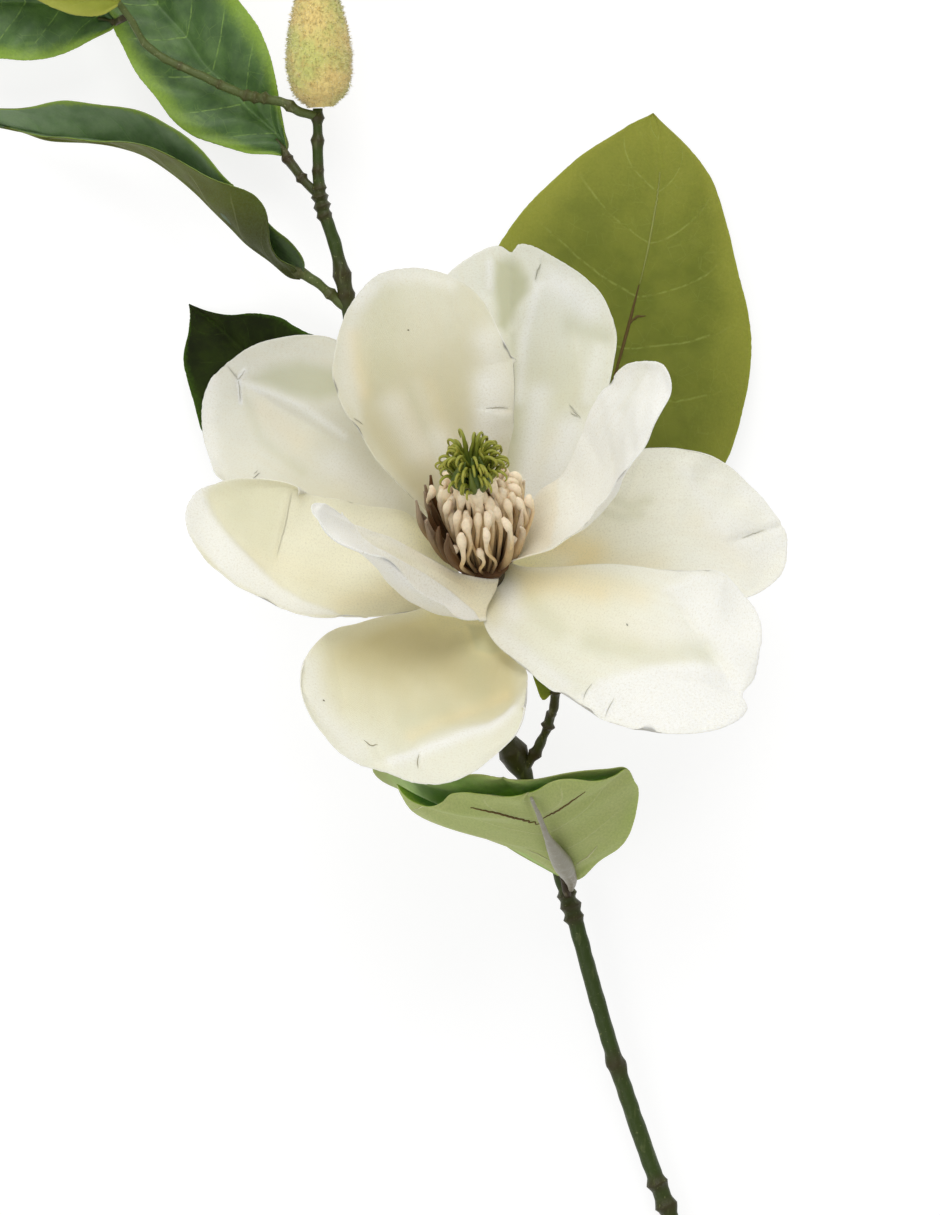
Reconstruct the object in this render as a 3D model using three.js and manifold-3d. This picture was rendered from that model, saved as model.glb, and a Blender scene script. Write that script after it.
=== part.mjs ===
// Magnolia branch, artificial: one open flower, nine leaves, a bud and a woody stem, lying face up.
// Millimetres, +Z up. The branch lies on the plane Z = 0; its cut stem end points towards -Y.
import * as THREE from "three";
import { mergeVertices } from "three/addons/utils/BufferGeometryUtils.js";
import Module from "manifold-3d";

const wasm = await Module();
wasm.setup();
const { Manifold, Mesh } = wasm;

// ---------------------------------------------------------------- driving dimensions, mm
const PETAL_THICKNESS = 0.9;
const LEAF_THICKNESS = 0.8;
const GAP = 0.3; // between pieces that touch on the real branch
const STAMEN_COUNT = 70;
const STAMEN_LENGTH = 31;
const STAMEN_RADIUS = 0.8;
const STAMEN_CLUB_RADIUS = 1.5;
const STYLE_COUNT = 34;
const STYLE_RADIUS = 0.7;
const CORE_RADIUS = 4.6;
const CORE_HEIGHT = 44;
const STYLES_FROM = 34; // height of the lowest styles on the core
const RECEPTACLE_RADIUS = 6.8;
const BUD_RADIUS = 10.6;
const STEM_RADIUS = 2.9;
const STEM_SIDES = 8;
const TWIG_SIDES = 7;
const BUD_SIDES = 14;
const STRAND_SIDES = 4; // a stamen's and a style's section
const PETAL_GRID = [12, 10]; // rows along and columns across
const LEAF_GRID = [11, 8];
const FRAMES = 200; // places where a stem's section is turned, for an even sweep

// Where the design's own origin lies in the part's frame.
const ORIGIN_SHIFT = new THREE.Vector3(48.3, 7.7, -0.5);

// ---------------------------------------------------------------- the sheet grid
// Free-form lines are laid out on a grid of 0.32 mm squares seen from VIEW_HEIGHT above the plane:
// u runs right, v runs down, and z is the height in mm. GRID_LEVEL is where a square is 0.32 mm.
const GRID_MM = 0.32;
const GRID_CENTRE = [470, 607.5];
const GRID_LEVEL = 60;
const VIEW_HEIGHT = 2400;

function at(u, v, z) {
  const k = (GRID_MM * (VIEW_HEIGHT - z)) / (VIEW_HEIGHT - GRID_LEVEL);
  return new THREE.Vector3((u - GRID_CENTRE[0]) * k, (GRID_CENTRE[1] - v) * k, z);
}

const line = (points) =>
  new THREE.CatmullRomCurve3(points.map(([u, v, z]) => at(u, v, z)));

// ---------------------------------------------------------------- the flower's own axis
const FLOWER_BASE = at(484, 562, 60);
const FLOWER_TILT = 45; // degrees from upright, towards +Y
const AXIS = new THREE.Vector3(-0.09, Math.sin(rad(FLOWER_TILT)), Math.cos(rad(FLOWER_TILT)))
  .normalize();
const SIDE = new THREE.Vector3(1, 0, 0).addScaledVector(AXIS, -AXIS.x).normalize();
const BACK = AXIS.clone().cross(SIDE).normalize();

function rad(degrees) {
  return (degrees * Math.PI) / 180;
}

// A point of the flower: radius and azimuth round the axis, and height along it.
function inFlower(radius, azimuth, height) {
  return FLOWER_BASE.clone()
    .addScaledVector(AXIS, height)
    .addScaledVector(SIDE, radius * Math.cos(azimuth))
    .addScaledVector(BACK, radius * Math.sin(azimuth));
}

// ---------------------------------------------------------------- closed meshes
// A geometry with only its places left, each kept once.
function bare(geometry) {
  geometry.deleteAttribute("normal");
  geometry.deleteAttribute("uv");
  return mergeVertices(geometry, 1e-4);
}

// Moves every vertex of a geometry to where `place` puts it.
function shape(geometry, place) {
  const positions = geometry.attributes.position;
  const p = new THREE.Vector3();
  for (let i = 0; i < positions.count; i++) {
    const moved = place(p.fromBufferAttribute(positions, i));
    positions.setXYZ(i, moved.x, moved.y, moved.z);
  }
  return geometry;
}

function toManifold(geometry) {
  const merged = bare(geometry.clone());
  return new Manifold(
    new Mesh({
      numProp: 3,
      vertProperties: new Float32Array(merged.attributes.position.array),
      triVerts: new Uint32Array(merged.index.array),
    }),
  );
}

function fromManifold(shape) {
  const m = shape.getMesh();
  const g = new THREE.BufferGeometry();
  g.setAttribute("position", new THREE.BufferAttribute(new Float32Array(m.vertProperties), 3));
  g.setIndex(new THREE.BufferAttribute(new Uint32Array(m.triVerts), 1));
  return g;
}

const fuse = (geometries) =>
  fromManifold(geometries.map(toManifold).reduce((sum, next) => sum.add(next)));

const cutBy = (geometry, cutters) =>
  fromManifold(cutters.map(toManifold).reduce((rest, c) => rest.subtract(c), toManifold(geometry)));

// ---------------------------------------------------------------- numbers along a line
// Values at even steps along a line, read off smoothly at s from 0 to 1.
function smooth(values, s) {
  if (typeof values === "number") return values;
  const last = values.length - 1;
  const x = THREE.MathUtils.clamp(s, 0, 1) * last;
  const i = Math.min(Math.floor(x), last - 1);
  const f = x - i;
  const p = (k) => values[THREE.MathUtils.clamp(k, 0, last)];
  const m0 = (p(i + 1) - p(i - 1)) / 2;
  const m1 = (p(i + 2) - p(i)) / 2;
  const d = p(i + 1) - p(i);
  return p(i) + f * (m0 + f * (3 * d - 2 * m0 - m1 + f * (m0 + m1 - 2 * d)));
}

// ---------------------------------------------------------------- petals and leaves
// A blade is a strip of cloth along a middle line. At each place along it, it has a half-width to the
// left and right (mm), a roll, a fold of each half at the middle line and a cup towards the edges
// (degrees). `face` gives the side that it shows. `tip` rounds its end; `notch` cuts into it.
function bladePoint(b, u, v) {
  const s = u * reach(b, v);
  const right = v > 0;
  const side = Math.abs(v);
  const at0 = b.curve.getPointAt(s);
  const along = b.curve.getTangentAt(s);
  const normal = b.face.clone().addScaledVector(along, -b.face.dot(along)).normalize();
  const across = along.clone().cross(normal);
  const roll = rad(smooth(b.roll, s));
  const a = across.clone().multiplyScalar(Math.cos(roll)).addScaledVector(normal, Math.sin(roll));
  const n = normal.clone().multiplyScalar(Math.cos(roll)).addScaledVector(across, -Math.sin(roll));
  const width = Math.max(smooth(right ? b.right : b.left, s), 0.6) * pointed(b, s);
  const fold = rad(smooth((right ? b.foldRight : b.foldLeft) ?? 0, s));
  const cup = rad(smooth(b.cup ?? 0, s)) + 1e-4;
  const out = (width / cup) * (Math.sin(fold + cup * side) - Math.sin(fold));
  const up = (width / cup) * (Math.cos(fold) - Math.cos(fold + cup * side));
  return at0.addScaledVector(a, right ? out : -out).addScaledVector(n, up);
}

// How far along the middle line the blade goes at v across it.
function reach(b, v) {
  if (!b.tip) return 1;
  let r = 1 - b.tip * (1 - Math.sqrt(Math.max(1 - v * v, 0))) + (b.lean ?? 0) * v;
  for (const [where, depth, wide] of b.notch ?? [])
    r -= depth * Math.exp(-(((v - where) / wide) ** 2));
  return Math.min(r, 1);
}

// A pointed blade closes over its last stretch.
function pointed(b, s) {
  if (!b.point) return 1;
  const t = Math.max((s - 1 + b.point) / b.point, 0);
  return Math.max(Math.sqrt(1 - t * t), 0.03);
}

const FINE = 0.004; // step on which a blade's slope is taken
const LOWER_FACE = 5; // the group of a box's triangles that looks down its z

// A flat plate, x, y and z from -1 to 1, whose two faces are triangulated alike.
function plate(columns, rows) {
  const box = new THREE.BoxGeometry(2, 2, 2, columns, rows, 1);
  const { start, count } = box.groups[LOWER_FACE];
  for (let i = start; i < start + count; i += 6) {
    const [a, b, d, , c] = box.index.array.slice(i, i + 6);
    box.index.array.set([a, b, c, a, c, d], i);
  }
  box.clearGroups();
  return bare(box);
}

// The blade as cloth of even thickness.
function blade(b, rows, columns, thickness) {
  return shape(plate(columns, rows), (p) => {
    const u = (p.y + 1) / 2;
    const v = p.x;
    const du = bladePoint(b, Math.min(u + FINE, 1), v).sub(bladePoint(b, Math.max(u - FINE, 0), v));
    const dv = bladePoint(b, u, Math.min(v + FINE, 1)).sub(bladePoint(b, u, Math.max(v - FINE, -1)));
    const n = dv.cross(du).normalize();
    return bladePoint(b, u, v).addScaledVector(n, (p.z * thickness) / 2);
  });
}

// ---------------------------------------------------------------- stems
// A stem of round section along a curve: radii at even steps, and swellings given as
// [where along it, extra radius, length to each side].
function stem(curve, radii, sides, rows, swellings = []) {
  const length = curve.getLength();
  const places = Array.from({ length: rows + 1 }, (_, i) => i / rows);
  for (const [where, , wide] of swellings)
    for (const step of [-1, 0, 1]) places.push(THREE.MathUtils.clamp(where + (step * wide) / length, 0, 1));
  places.sort((x, y) => x - y);
  const stations = places.filter((s, i) => i === 0 || s - places[i - 1] > 0.2 / length);
  const rings = stations.length - 1;
  const frames = curve.computeFrenetFrames(FRAMES);
  const rod = bare(new THREE.CylinderGeometry(1, 1, rings, sides, rings));
  return shape(rod, (p) => {
    const s = stations[Math.round(p.y + rings / 2)];
    let r = smooth(radii, s);
    for (const [where, extra, wide] of swellings)
      r += extra * Math.max(1 - (Math.abs(s - where) * length) / wide, 0);
    const k = Math.round(s * FRAMES);
    return curve.getPointAt(s)
      .addScaledVector(frames.normals[k], r * p.x)
      .addScaledVector(frames.binormals[k], -r * p.z);
  });
}

const spline = (points) => new THREE.CatmullRomCurve3(points);

// ---------------------------------------------------------------- seeded draw
function draw(seed) {
  let state = seed;
  return () => {
    state = (state * 1664525 + 1013904223) % 4294967296;
    return state / 4294967296;
  };
}

// ---------------------------------------------------------------- the flower's middle
const GOLDEN = Math.PI * (3 - Math.sqrt(5));

function stamens() {
  const random = draw(11);
  const shapes = [
    stem(spline([inFlower(0, 0, -1.5), inFlower(0, 0, 1), inFlower(0, 0, 3)]), [7.8, 8.6, 8.2], 12, 1),
  ];
  for (let i = 0; i < STAMEN_COUNT; i++) {
    const azimuth = GOLDEN * i;
    const outer = ((i + 1) / STAMEN_COUNT) ** 0.75;
    const front = (1 - Math.sin(azimuth)) / 2;
    const root = 4.6 + 3.2 * outer;
    const flare = (1.4 + 8.8 * outer + 1.4 * random()) * (0.78 + 0.22 * front);
    const long = STAMEN_LENGTH * (1.05 - 0.06 * outer - 0.08 * random()) * (1 - 0.12 * outer * front);
    const turn = 0.35 * (random() - 0.5);
    const p = [
      inFlower(root, azimuth, 1),
      inFlower(root + flare * 0.55, azimuth + turn * 0.3, 1 + long * 0.33),
      inFlower(root + flare, azimuth + turn * 0.7, 1 + long * 0.72),
      inFlower(root + flare * (0.8 + 0.25 * random()), azimuth + turn, 1 + long),
    ];
    const r = STAMEN_RADIUS;
    shapes.push(stem(spline(p), [r, r, STAMEN_CLUB_RADIUS, r], STRAND_SIDES, 3));
  }
  return fuse(shapes);
}

function styles() {
  const random = draw(5);
  const shapes = [
    stem(
      spline([inFlower(0, 0, 3.3), inFlower(0, 0, 16), inFlower(0, 0, CORE_HEIGHT)]),
      [CORE_RADIUS * 0.8, CORE_RADIUS, CORE_RADIUS, CORE_RADIUS * 0.5], 10, 4,
    ),
  ];
  for (let i = 0; i < STYLE_COUNT; i++) {
    const part = (i + 0.5) / STYLE_COUNT;
    const azimuth = GOLDEN * i;
    const height = STYLES_FROM + (CORE_HEIGHT - STYLES_FROM - 1) * part;
    const lean = 1 - part * 0.7;
    const out = (6.5 + 2.5 * random()) * lean;
    const up = 3 + 4 * part + 2 * random();
    const hook = azimuth + 0.5 * (random() - 0.3);
    const p = [
      inFlower(CORE_RADIUS * 0.55 * lean, azimuth, height - 1.5),
      inFlower(CORE_RADIUS + out * 0.6, azimuth, height + up * 0.5),
      inFlower(CORE_RADIUS * 0.8 + out, hook, height + up),
      inFlower(CORE_RADIUS * 0.6 + out * 0.55, hook + 0.2, height + up * 1.1 + 0.8),
    ];
    const r = STYLE_RADIUS;
    shapes.push(stem(spline(p), [r, r, r, r * 0.5], STRAND_SIDES, 3));
  }
  return fuse(shapes);
}

// ---------------------------------------------------------------- the nine petals
const PETALS = {
  petal_1_inner_top: {
    points: [[478, 554.5, 50.3], [459, 500, 57], [439, 440, 62], [426, 375, 64], [418, 315, 61], [408, 267, 56]],
    left: [5, 13, 23, 29, 28, 24], right: [5, 14, 24, 29, 27, 22],
    roll: 0, cup: [50, 40, 30, 26, 22, 10], tip: 0.32,
  },
  petal_2_outer_top: {
    points: [[488.3, 563.7, 48.4], [506, 490, 50], [522, 415, 49], [533, 345, 44], [527, 290, 37], [516, 244, 29]],
    left: [4, 13, 24, 29, 30, 28], right: [4, 17, 26, 29, 28, 22],
    roll: 0, cup: [40, 35, 28, 24, 18, 10], tip: 0.28, notch: [[-0.25, 0.02, 0.1]],
  },
  petal_3_inner_right: {
    points: [[509, 571, 58], [557, 541, 72], [602, 494, 88], [632, 444, 103], [654, 404, 114], [668, 376, 121]],
    left: [4, 14, 23, 28, 27, 22], right: [4, 11, 16, 18, 17, 13],
    roll: 0, cup: [50, 40, 32, 26, 20, 10], tip: 0.26,
  },
  petal_4_outer_right: {
    points: [[508, 578, 53], [560, 552, 57], [620, 534, 60], [680, 526, 60], [740, 532, 56], [786, 546, 50]],
    left: [4, 14, 25, 27, 25, 21], right: [4, 13, 24, 28, 28, 24],
    roll: -20, cup: [30, 24, 20, 18, 16, 10], tip: 0.34,
  },
  petal_5_outer_lower_right: {
    points: [[503.1, 585.8, 59], [550, 612, 80], [605, 638, 92], [655, 654, 100], [708, 662, 103], [763, 664, 100]],
    left: [4, 14, 24, 28, 30, 30], right: [4, 15, 24, 28, 29, 27],
    roll: -18, cup: [30, 24, 16, 10, 6, -4], tip: 0.26, lean: -0.02, notch: [[0.4, 0.03, 0.12]],
  },
  petal_6_outer_bottom: {
    points: [[488.1, 602.2, 56], [462, 642, 71], [434, 680, 90], [418, 720, 108], [411, 757, 120], [408, 786, 124]],
    left: [5, 19, 29, 33, 34, 31], right: [4, 17, 30, 37, 38, 34],
    roll: 8, cup: [30, 30, 22, 18, 12, 4], tip: 0.34,
  },
  petal_7_inner_lower_left: {
    points: [[491.5, 599.4, 69.9], [452, 602, 77], [410, 587, 91], [370, 557, 107], [340, 529, 120], [320, 508, 128]],
    left: [7, 12, 18, 19, 16, 11], right: [7, 12, 14, 14, 12, 9],
    roll: [25, 15, 0, 0, 0, 0], cup: [10, 30, 48, 46, 36, 20], tip: 0.26,
  },
  petal_8_outer_left: {
    points: [[460, 576, 56], [410, 574, 68], [350, 568, 78], [292, 555, 84], [236, 532, 86], [188, 512, 84]],
    left: [5, 16, 24, 26, 25, 20], right: [5, 18, 21, 21, 23, 23],
    roll: 14, cup: [40, 32, 24, 20, 16, 8], tip: 0.32,
  },
  petal_9_outer_upper_left: {
    points: [[464, 564, 49], [420, 518, 50], [366, 472, 49], [312, 432, 46], [258, 406, 40], [208, 398, 33]],
    left: [5, 18, 26, 29, 31, 30], right: [4, 14, 24, 30, 30, 26],
    roll: 22, cup: [30, 26, 22, 20, 16, 8], tip: 0.3,
  },
};

// ---------------------------------------------------------------- the leaves
const UP = new THREE.Vector3(0, 0, 1);
const LEAVES = {
  leaf_1_upper_right: {
    points: [
      [578, 530, 20], [597, 450, 17], [614, 380, 14], [632, 315, 11.5], [648, 240, 8.5], [659, 165, 4.5],
      [653, 116, 0.9],
    ],
    left: [4, 34, 46, 48, 38, 12], right: [4, 38, 44, 34, 21, 7],
    roll: 0, cup: [-4, -8, -10, -10, -8, -4], point: 0.08,
  },
  leaf_2_left: {
    points: [[362, 452, 20], [325, 425, 17], [286, 392, 14], [248, 356, 10], [214, 324, 5.5], [188, 305, 0.9]],
    left: [3, 16, 26, 27, 19, 4], right: [3, 13, 19, 17, 8, 3],
    roll: 0, foldLeft: 8, foldRight: 8, cup: 10, point: 0.1,
  },
  leaf_3_long: {
    points: [[300, 273, 26], [238, 225, 20], [170, 169, 16], [100, 140, 14], [20, 124, 12], [-70, 120, 8]],
    left: [5, 23, 18, 16, 12, 4], right: [5, 17, 20, 16, 11, 4],
    roll: 0, foldLeft: [105, 124, 108, 86, 72, 50], foldRight: [66, 60, 52, 56, 56, 40], cup: 4, point: 0.1,
  },
  leaf_4_top: {
    points: [[286, 157, 22], [250, 110, 20], [205, 60, 18], [160, 16, 14], [115, -25, 10], [75, -65, 6]],
    left: [3, 19, 21, 19, 11, 4], right: [3, 17, 23, 22, 14, 4],
    roll: 0, foldLeft: 10, foldRight: 10, cup: 8, point: 0.1,
  },
  leaf_5_front: {
    points: [[567, 880, 27], [556, 862, 38], [545, 840, 50], [535, 820, 62], [527, 806, 72], [522, 797, 80]],
    left: [3, 20, 32, 37, 37, 31], right: [3, 20, 38, 48, 49, 42],
    roll: 0, foldRight: [0, -4, -8, -14, -16, -15],
    cup: [30, 40, 44, 44, 40, 34], tip: 0.2, face: new THREE.Vector3(0, 1, 0),
  },
  leaf_5_back: {
    points: [[563, 874, 21], [549, 846, 32], [532, 822, 44], [515, 802, 57], [502, 788, 68], [493, 779, 77]],
    left: [3, 21, 40, 54, 59, 52], right: [3, 20, 33, 40, 40, 34],
    roll: 0, cup: [-10, -20, -28, -30, -28, -24], tip: 0.26, face: new THREE.Vector3(0, -1, 0),
  },
  leaf_6_left: {
    points: [[110, 22, 22], [70, 8, 19], [20, 2, 16], [-35, 6, 13], [-90, 20, 9], [-135, 40, 5]],
    left: [3, 17, 20, 19, 13, 4], right: [3, 14, 19, 19, 13, 4],
    roll: 0, foldLeft: 10, foldRight: 10, cup: 10, point: 0.1,
  },
  leaf_7_top: {
    points: [[115, 2, 31], [90, -12, 32], [54, -36, 32], [14, -70, 30], [-24, -106, 26], [-60, -144, 22]],
    left: [2, 11, 17, 17, 12, 4], right: [2, 11, 16, 17, 12, 4],
    roll: 0, foldLeft: 8, foldRight: 8, cup: 10, point: 0.1,
  },
  leaf_8_small: {
    points: [[546, 698, 35], [538, 686, 37], [531, 669, 38], [525, 654, 38], [519, 640, 37]],
    left: [1, 3, 4, 3.5, 1.5], right: [1, 3, 4, 3.5, 1.5],
    roll: 0, foldLeft: 12, foldRight: 12, cup: 6, point: 0.2,
  },
};

const COLOURS = {
  petal: 0xf5f2e4,
  leafTop: 0x32502d,
  leafUnder: 0x78823a,
  leafLight: 0x96a55f,
  leafDark: 0x283c12,
  bark: 0x3c5028,
  twig: 0x4a4a30,
  bud: 0xdcc882,
  stamen: 0xe1c8aa,
  style: 0x8c9632,
  rib: 0x96917c,
};

// ---------------------------------------------------------------- assembly
const branch = new THREE.Group();
branch.name = "magnolia_branch";

function add(name, geometry, color, roughness) {
  const mesh = new THREE.Mesh(
    geometry,
    new THREE.MeshStandardMaterial({ color, roughness, metalness: 0 }),
  );
  mesh.name = name;
  mesh.position.copy(ORIGIN_SHIFT);
  branch.add(mesh);
}

for (const [name, b] of Object.entries(PETALS)) {
  b.curve = line(b.points);
  b.face = AXIS;
  add(name, blade(b, ...PETAL_GRID, PETAL_THICKNESS), COLOURS.petal, 0.75);
}
const leafColour = {
  leaf_1_upper_right: COLOURS.leafUnder,
  leaf_2_left: COLOURS.leafDark,
  leaf_5_front: COLOURS.leafLight,
  leaf_8_small: COLOURS.leafUnder,
};
for (const [name, b] of Object.entries(LEAVES)) {
  b.curve = line(b.points);
  b.face ??= UP;
  add(name, blade(b, ...LEAF_GRID, LEAF_THICKNESS), leafColour[name] ?? COLOURS.leafTop, 0.5);
}
add("stamens", stamens(), COLOURS.stamen, 0.55);
add("styles", styles(), COLOURS.style, 0.5);

// ---------------------------------------------------------------- stem and twigs
// A rod of the wood, and the same rod grown by the gap, which trims what is set against it.
function rod(points, radii, sides, rows, swellings = []) {
  const curve = line(points);
  return {
    body: stem(curve, radii, sides, rows, swellings),
    grown: stem(curve, radii.map((r) => r + GAP), sides, rows, swellings),
  };
}

const mainStem = rod(
  [
    [735, 1398, 3.4], [702, 1300, 4.5], [667, 1208, 7], [635, 1120, 9], [603, 1020, 11], [571, 908, 14],
    [549, 840, 17], [524, 775, 20], [484, 700, 22], [430, 600, 22], [382, 470, 23], [357, 370, 24],
    [348, 303, 25], [335, 245, 26], [320, 196, 27], [318, 108.4, 28],
  ],
  [STEM_RADIUS, 2.8, 2.7, 2.6, 2.4, 2.3, 2.3, 2.3, 2.2, 1.6], STEM_SIDES, 24,
  [[0.153, 0.9, 3], [0.17, 1.0, 3], [0.372, 0.9, 3], [0.388, 0.8, 3], [0.85, 0.9, 4], [0.925, 0.8, 2.5],
    [0.94, 0.8, 2.5]],
);
add("main_stem", mainStem.body, COLOURS.bark, 0.55);

const stalk = rod(
  [[521, 774, 20], [538, 748, 24], [549, 722, 29], [555, 698, 34], [553, 672, 38], [525, 632, 43], [488, 597, 49]],
  [1.6, 1.5, 1.5, 1.6, 2.2, 2.0], STEM_SIDES, 12, [[0.16, 0.7, 2], [0.3, 0.6, 2], [0.48, 1.0, 3]],
);
const receptacle = stem(
  spline([inFlower(0, 0, -17), inFlower(0, 0, -9), inFlower(0, 0, -2)]),
  [2.8, 5.4, RECEPTACLE_RADIUS], 12, 3,
);
add("flower_stalk", cutBy(fuse([stalk.body, receptacle]), [mainStem.grown]), COLOURS.twig, 0.6);

const TWIGS = {
  twig_leaf_3: [[[350, 311, 25], [330, 294, 25], [316, 282, 26], [302, 273.6, 26]], [1.7, 1.7, 1.5, 1.6]],
  twig_leaf_4: [[[321, 196, 27], [307, 184, 26], [296, 170, 24], [287.6, 159.2, 22]], [1.6, 1.6, 1.4, 1.2]],
  twig_top: [
    [[319, 116, 28], [300, 112, 29], [284, 103, 29], [246, 95, 29], [200, 75, 28], [162, 57, 27],
      [145, 43, 27], [132, 22, 28], [123, 9, 29], [118, 3, 30.5]],
    [1.6, 1.5, 1.4, 1.3, 1.2, 1.1],
  ],
  petiole_leaf_1: [[[440, 610, 22], [500, 580, 21], [545, 560, 20], [577, 532.2, 20]], [1.5, 1.4, 1.3, 1.3]],
  petiole_leaf_2: [[[383, 462, 22], [372, 458, 21], [364, 454, 20]], [1.4, 1.3, 1.2]],
  petiole_leaf_6: [[[128, 16, 28], [120, 20, 25], [113.5, 22, 22]], [1.2, 1.1, 1.0]],
  petiole_leaf_5_back: [[[568, 896, 17], [566, 888, 19], [563.4, 876.6, 20.5]], [1.3, 1.3, 1.2]],
};
const topTwig = rod(TWIGS.twig_top[0], TWIGS.twig_top[1], TWIG_SIDES, 12);
for (const [name, [points, radii]] of Object.entries(TWIGS)) {
  const twig = rod(points, radii, TWIG_SIDES, Math.min(points.length * 2, 12));
  const beside = name === "petiole_leaf_6" ? [mainStem.grown, topTwig.grown] : [mainStem.grown];
  add(name, cutBy(twig.body, beside), COLOURS.twig, 0.6);
}

const rib = rod(
  [[571, 910, 18], [572, 895, 27], [567, 877.5, 37], [556, 858, 49], [545, 837, 62], [534, 820, 74]],
  [1.6, 1.8, 2.4, 2.1, 1.4, 0.8], STEM_SIDES, 10,
);
add("rib_leaf_5", cutBy(rib.body, [mainStem.grown]), COLOURS.rib, 0.6);

const bud = stem(
  line([[322, 107, 30], [319, 60, 31], [317, 0, 31], [315, -46, 30]]),
  [6.2, 9.8, BUD_RADIUS, 9.6, 7.6, 4.8, 1.6], BUD_SIDES, 9,
);
add("bud", cutBy(bud, [mainStem.grown, topTwig.grown]), COLOURS.bud, 0.85);

export default branch;
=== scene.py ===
import math

import bpy
import numpy as np
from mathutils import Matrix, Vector


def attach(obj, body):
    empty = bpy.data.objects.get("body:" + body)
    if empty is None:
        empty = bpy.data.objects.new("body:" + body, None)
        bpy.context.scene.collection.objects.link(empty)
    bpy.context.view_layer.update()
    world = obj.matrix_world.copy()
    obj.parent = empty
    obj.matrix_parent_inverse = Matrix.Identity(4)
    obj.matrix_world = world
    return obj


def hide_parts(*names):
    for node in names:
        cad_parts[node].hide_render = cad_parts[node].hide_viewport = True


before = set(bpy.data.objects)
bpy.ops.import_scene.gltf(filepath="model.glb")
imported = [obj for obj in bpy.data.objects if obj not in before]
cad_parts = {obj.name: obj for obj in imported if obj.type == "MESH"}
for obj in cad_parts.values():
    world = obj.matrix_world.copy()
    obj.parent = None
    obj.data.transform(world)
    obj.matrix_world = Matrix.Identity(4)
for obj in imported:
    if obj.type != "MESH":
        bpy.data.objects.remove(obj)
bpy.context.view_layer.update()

MM = 0.001
SHIFT = np.array([48.3, 7.7, -0.5])
GRID_MM, GRID_LEVEL, VIEW_HEIGHT = 0.32, 60.0, 2400.0
GRID_CENTRE, GRID_HEIGHT = (470.0, 607.5), 1215
CLOTH = 0.5  # mm, thickness of a petal or leaf
UP = np.array([0.0, 0.0, 1.0])
rng = np.random.RandomState(7)


# ------------------------------------------------------------------ lines
def grid_mm(z):
    """The mm that a grid square spans at height z."""
    return GRID_MM * (VIEW_HEIGHT - z) / (VIEW_HEIGHT - GRID_LEVEL)


def at(u, v, z):
    """A place on the grid as a point in mm."""
    k = grid_mm(z)
    return np.array([(u - GRID_CENTRE[0]) * k, (GRID_CENTRE[1] - v) * k, z])


def on_grid(p):
    """Where points in mm lie on the grid."""
    k = grid_mm(p[..., 2])
    return np.stack([p[..., 0] / k + GRID_CENTRE[0], GRID_CENTRE[1] - p[..., 1] / k], -1)


def pairs(numbers):
    """A flat row of numbers as u, v pairs."""
    return np.reshape(numbers, (-1, 2)).astype(float)


def unit(x):
    return x / np.maximum(np.linalg.norm(x, axis=-1, keepdims=True), 1e-9)


def normals(p):
    """Unit normals of a grid of points, each averaged with its neighbours by area."""
    n = np.pad(np.cross(np.gradient(p, axis=1), np.gradient(p, axis=0)), ((1, 1), (1, 1), (0, 0)), "edge")
    rows, columns = p.shape[:2]
    return unit(sum(n[i:i + rows, j:j + columns] for i in range(3) for j in range(3)))


class Line:
    """A smooth curve through points in mm, read by its share of length."""

    def __init__(self, points):
        p = np.array(points, float)
        self.p = np.vstack([2 * p[0] - p[1], p, 2 * p[-1] - p[-2]])
        self.t = np.linspace(0, 1, 401)
        q = self.point(self.t)
        d = np.r_[0, np.cumsum(np.linalg.norm(np.diff(q, axis=0), axis=1))]
        self.length, self.d = d[-1], d / d[-1]

    def point(self, t):
        spans = len(self.p) - 3
        x = np.clip(t, 0, 1) * spans
        i = np.minimum(x.astype(int), spans - 1)
        f = (x - i)[..., None]
        a, b, c, d = (self.p[i + k] for k in range(4))
        d0, d1, d2 = (np.maximum(np.linalg.norm(y - x, axis=-1, keepdims=True), 1e-6) ** 0.5
                      for x, y in ((a, b), (b, c), (c, d)))
        m1 = ((b - a) / d0 - (c - a) / (d0 + d1) + (c - b) / d1) * d1
        m2 = ((c - b) / d1 - (d - b) / (d1 + d2) + (d - c) / d2) * d1
        return b + f * (m1 + f * (3 * c - 3 * b - 2 * m1 - m2 + f * (2 * b - 2 * c + m1 + m2)))

    def at(self, s):
        past = np.minimum(s, 0) + np.maximum(s - 1, 0)
        inside = self.point(np.interp(s, self.d, self.t))
        return inside + self.tangent(s) * np.multiply(past, self.length)[..., None]

    def share(self, u, v):
        """The share of length that lies nearest to a place on the grid."""
        s = np.linspace(0, 1, 1001)
        return s[np.argmin(np.linalg.norm(on_grid(self.at(s)) - (u, v), axis=1))]

    def tangent(self, s):
        t = np.interp(s, self.d, self.t)
        return unit(self.point(t + 1e-3) - self.point(t - 1e-3))


def grid_line(points):
    return Line([at(*p) for p in points])


def smooth(values, s):
    """Values at even steps along a line, read off smoothly at s from 0 to 1."""
    s = np.asarray(s, float)
    if np.isscalar(values):
        return np.full(s.shape, float(values))
    a = np.asarray(values, float)
    last = len(a) - 1
    x = np.clip(s, 0, 1) * last
    i = np.minimum(x.astype(int), last - 1)
    f = x - i
    before, here, after, later = (a[np.clip(i + k, 0, last)] for k in (-1, 0, 1, 2))
    m0, m1, d = (after - before) / 2, (later - here) / 2, after - here
    return here + f * (m0 + f * (3 * d - 2 * m0 - m1 + f * (m0 + m1 - 2 * d)))


def ease(x, low, high):
    t = np.clip((x - low) / (high - low), 0, 1)
    return t * t * (3 - 2 * t)


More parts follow.
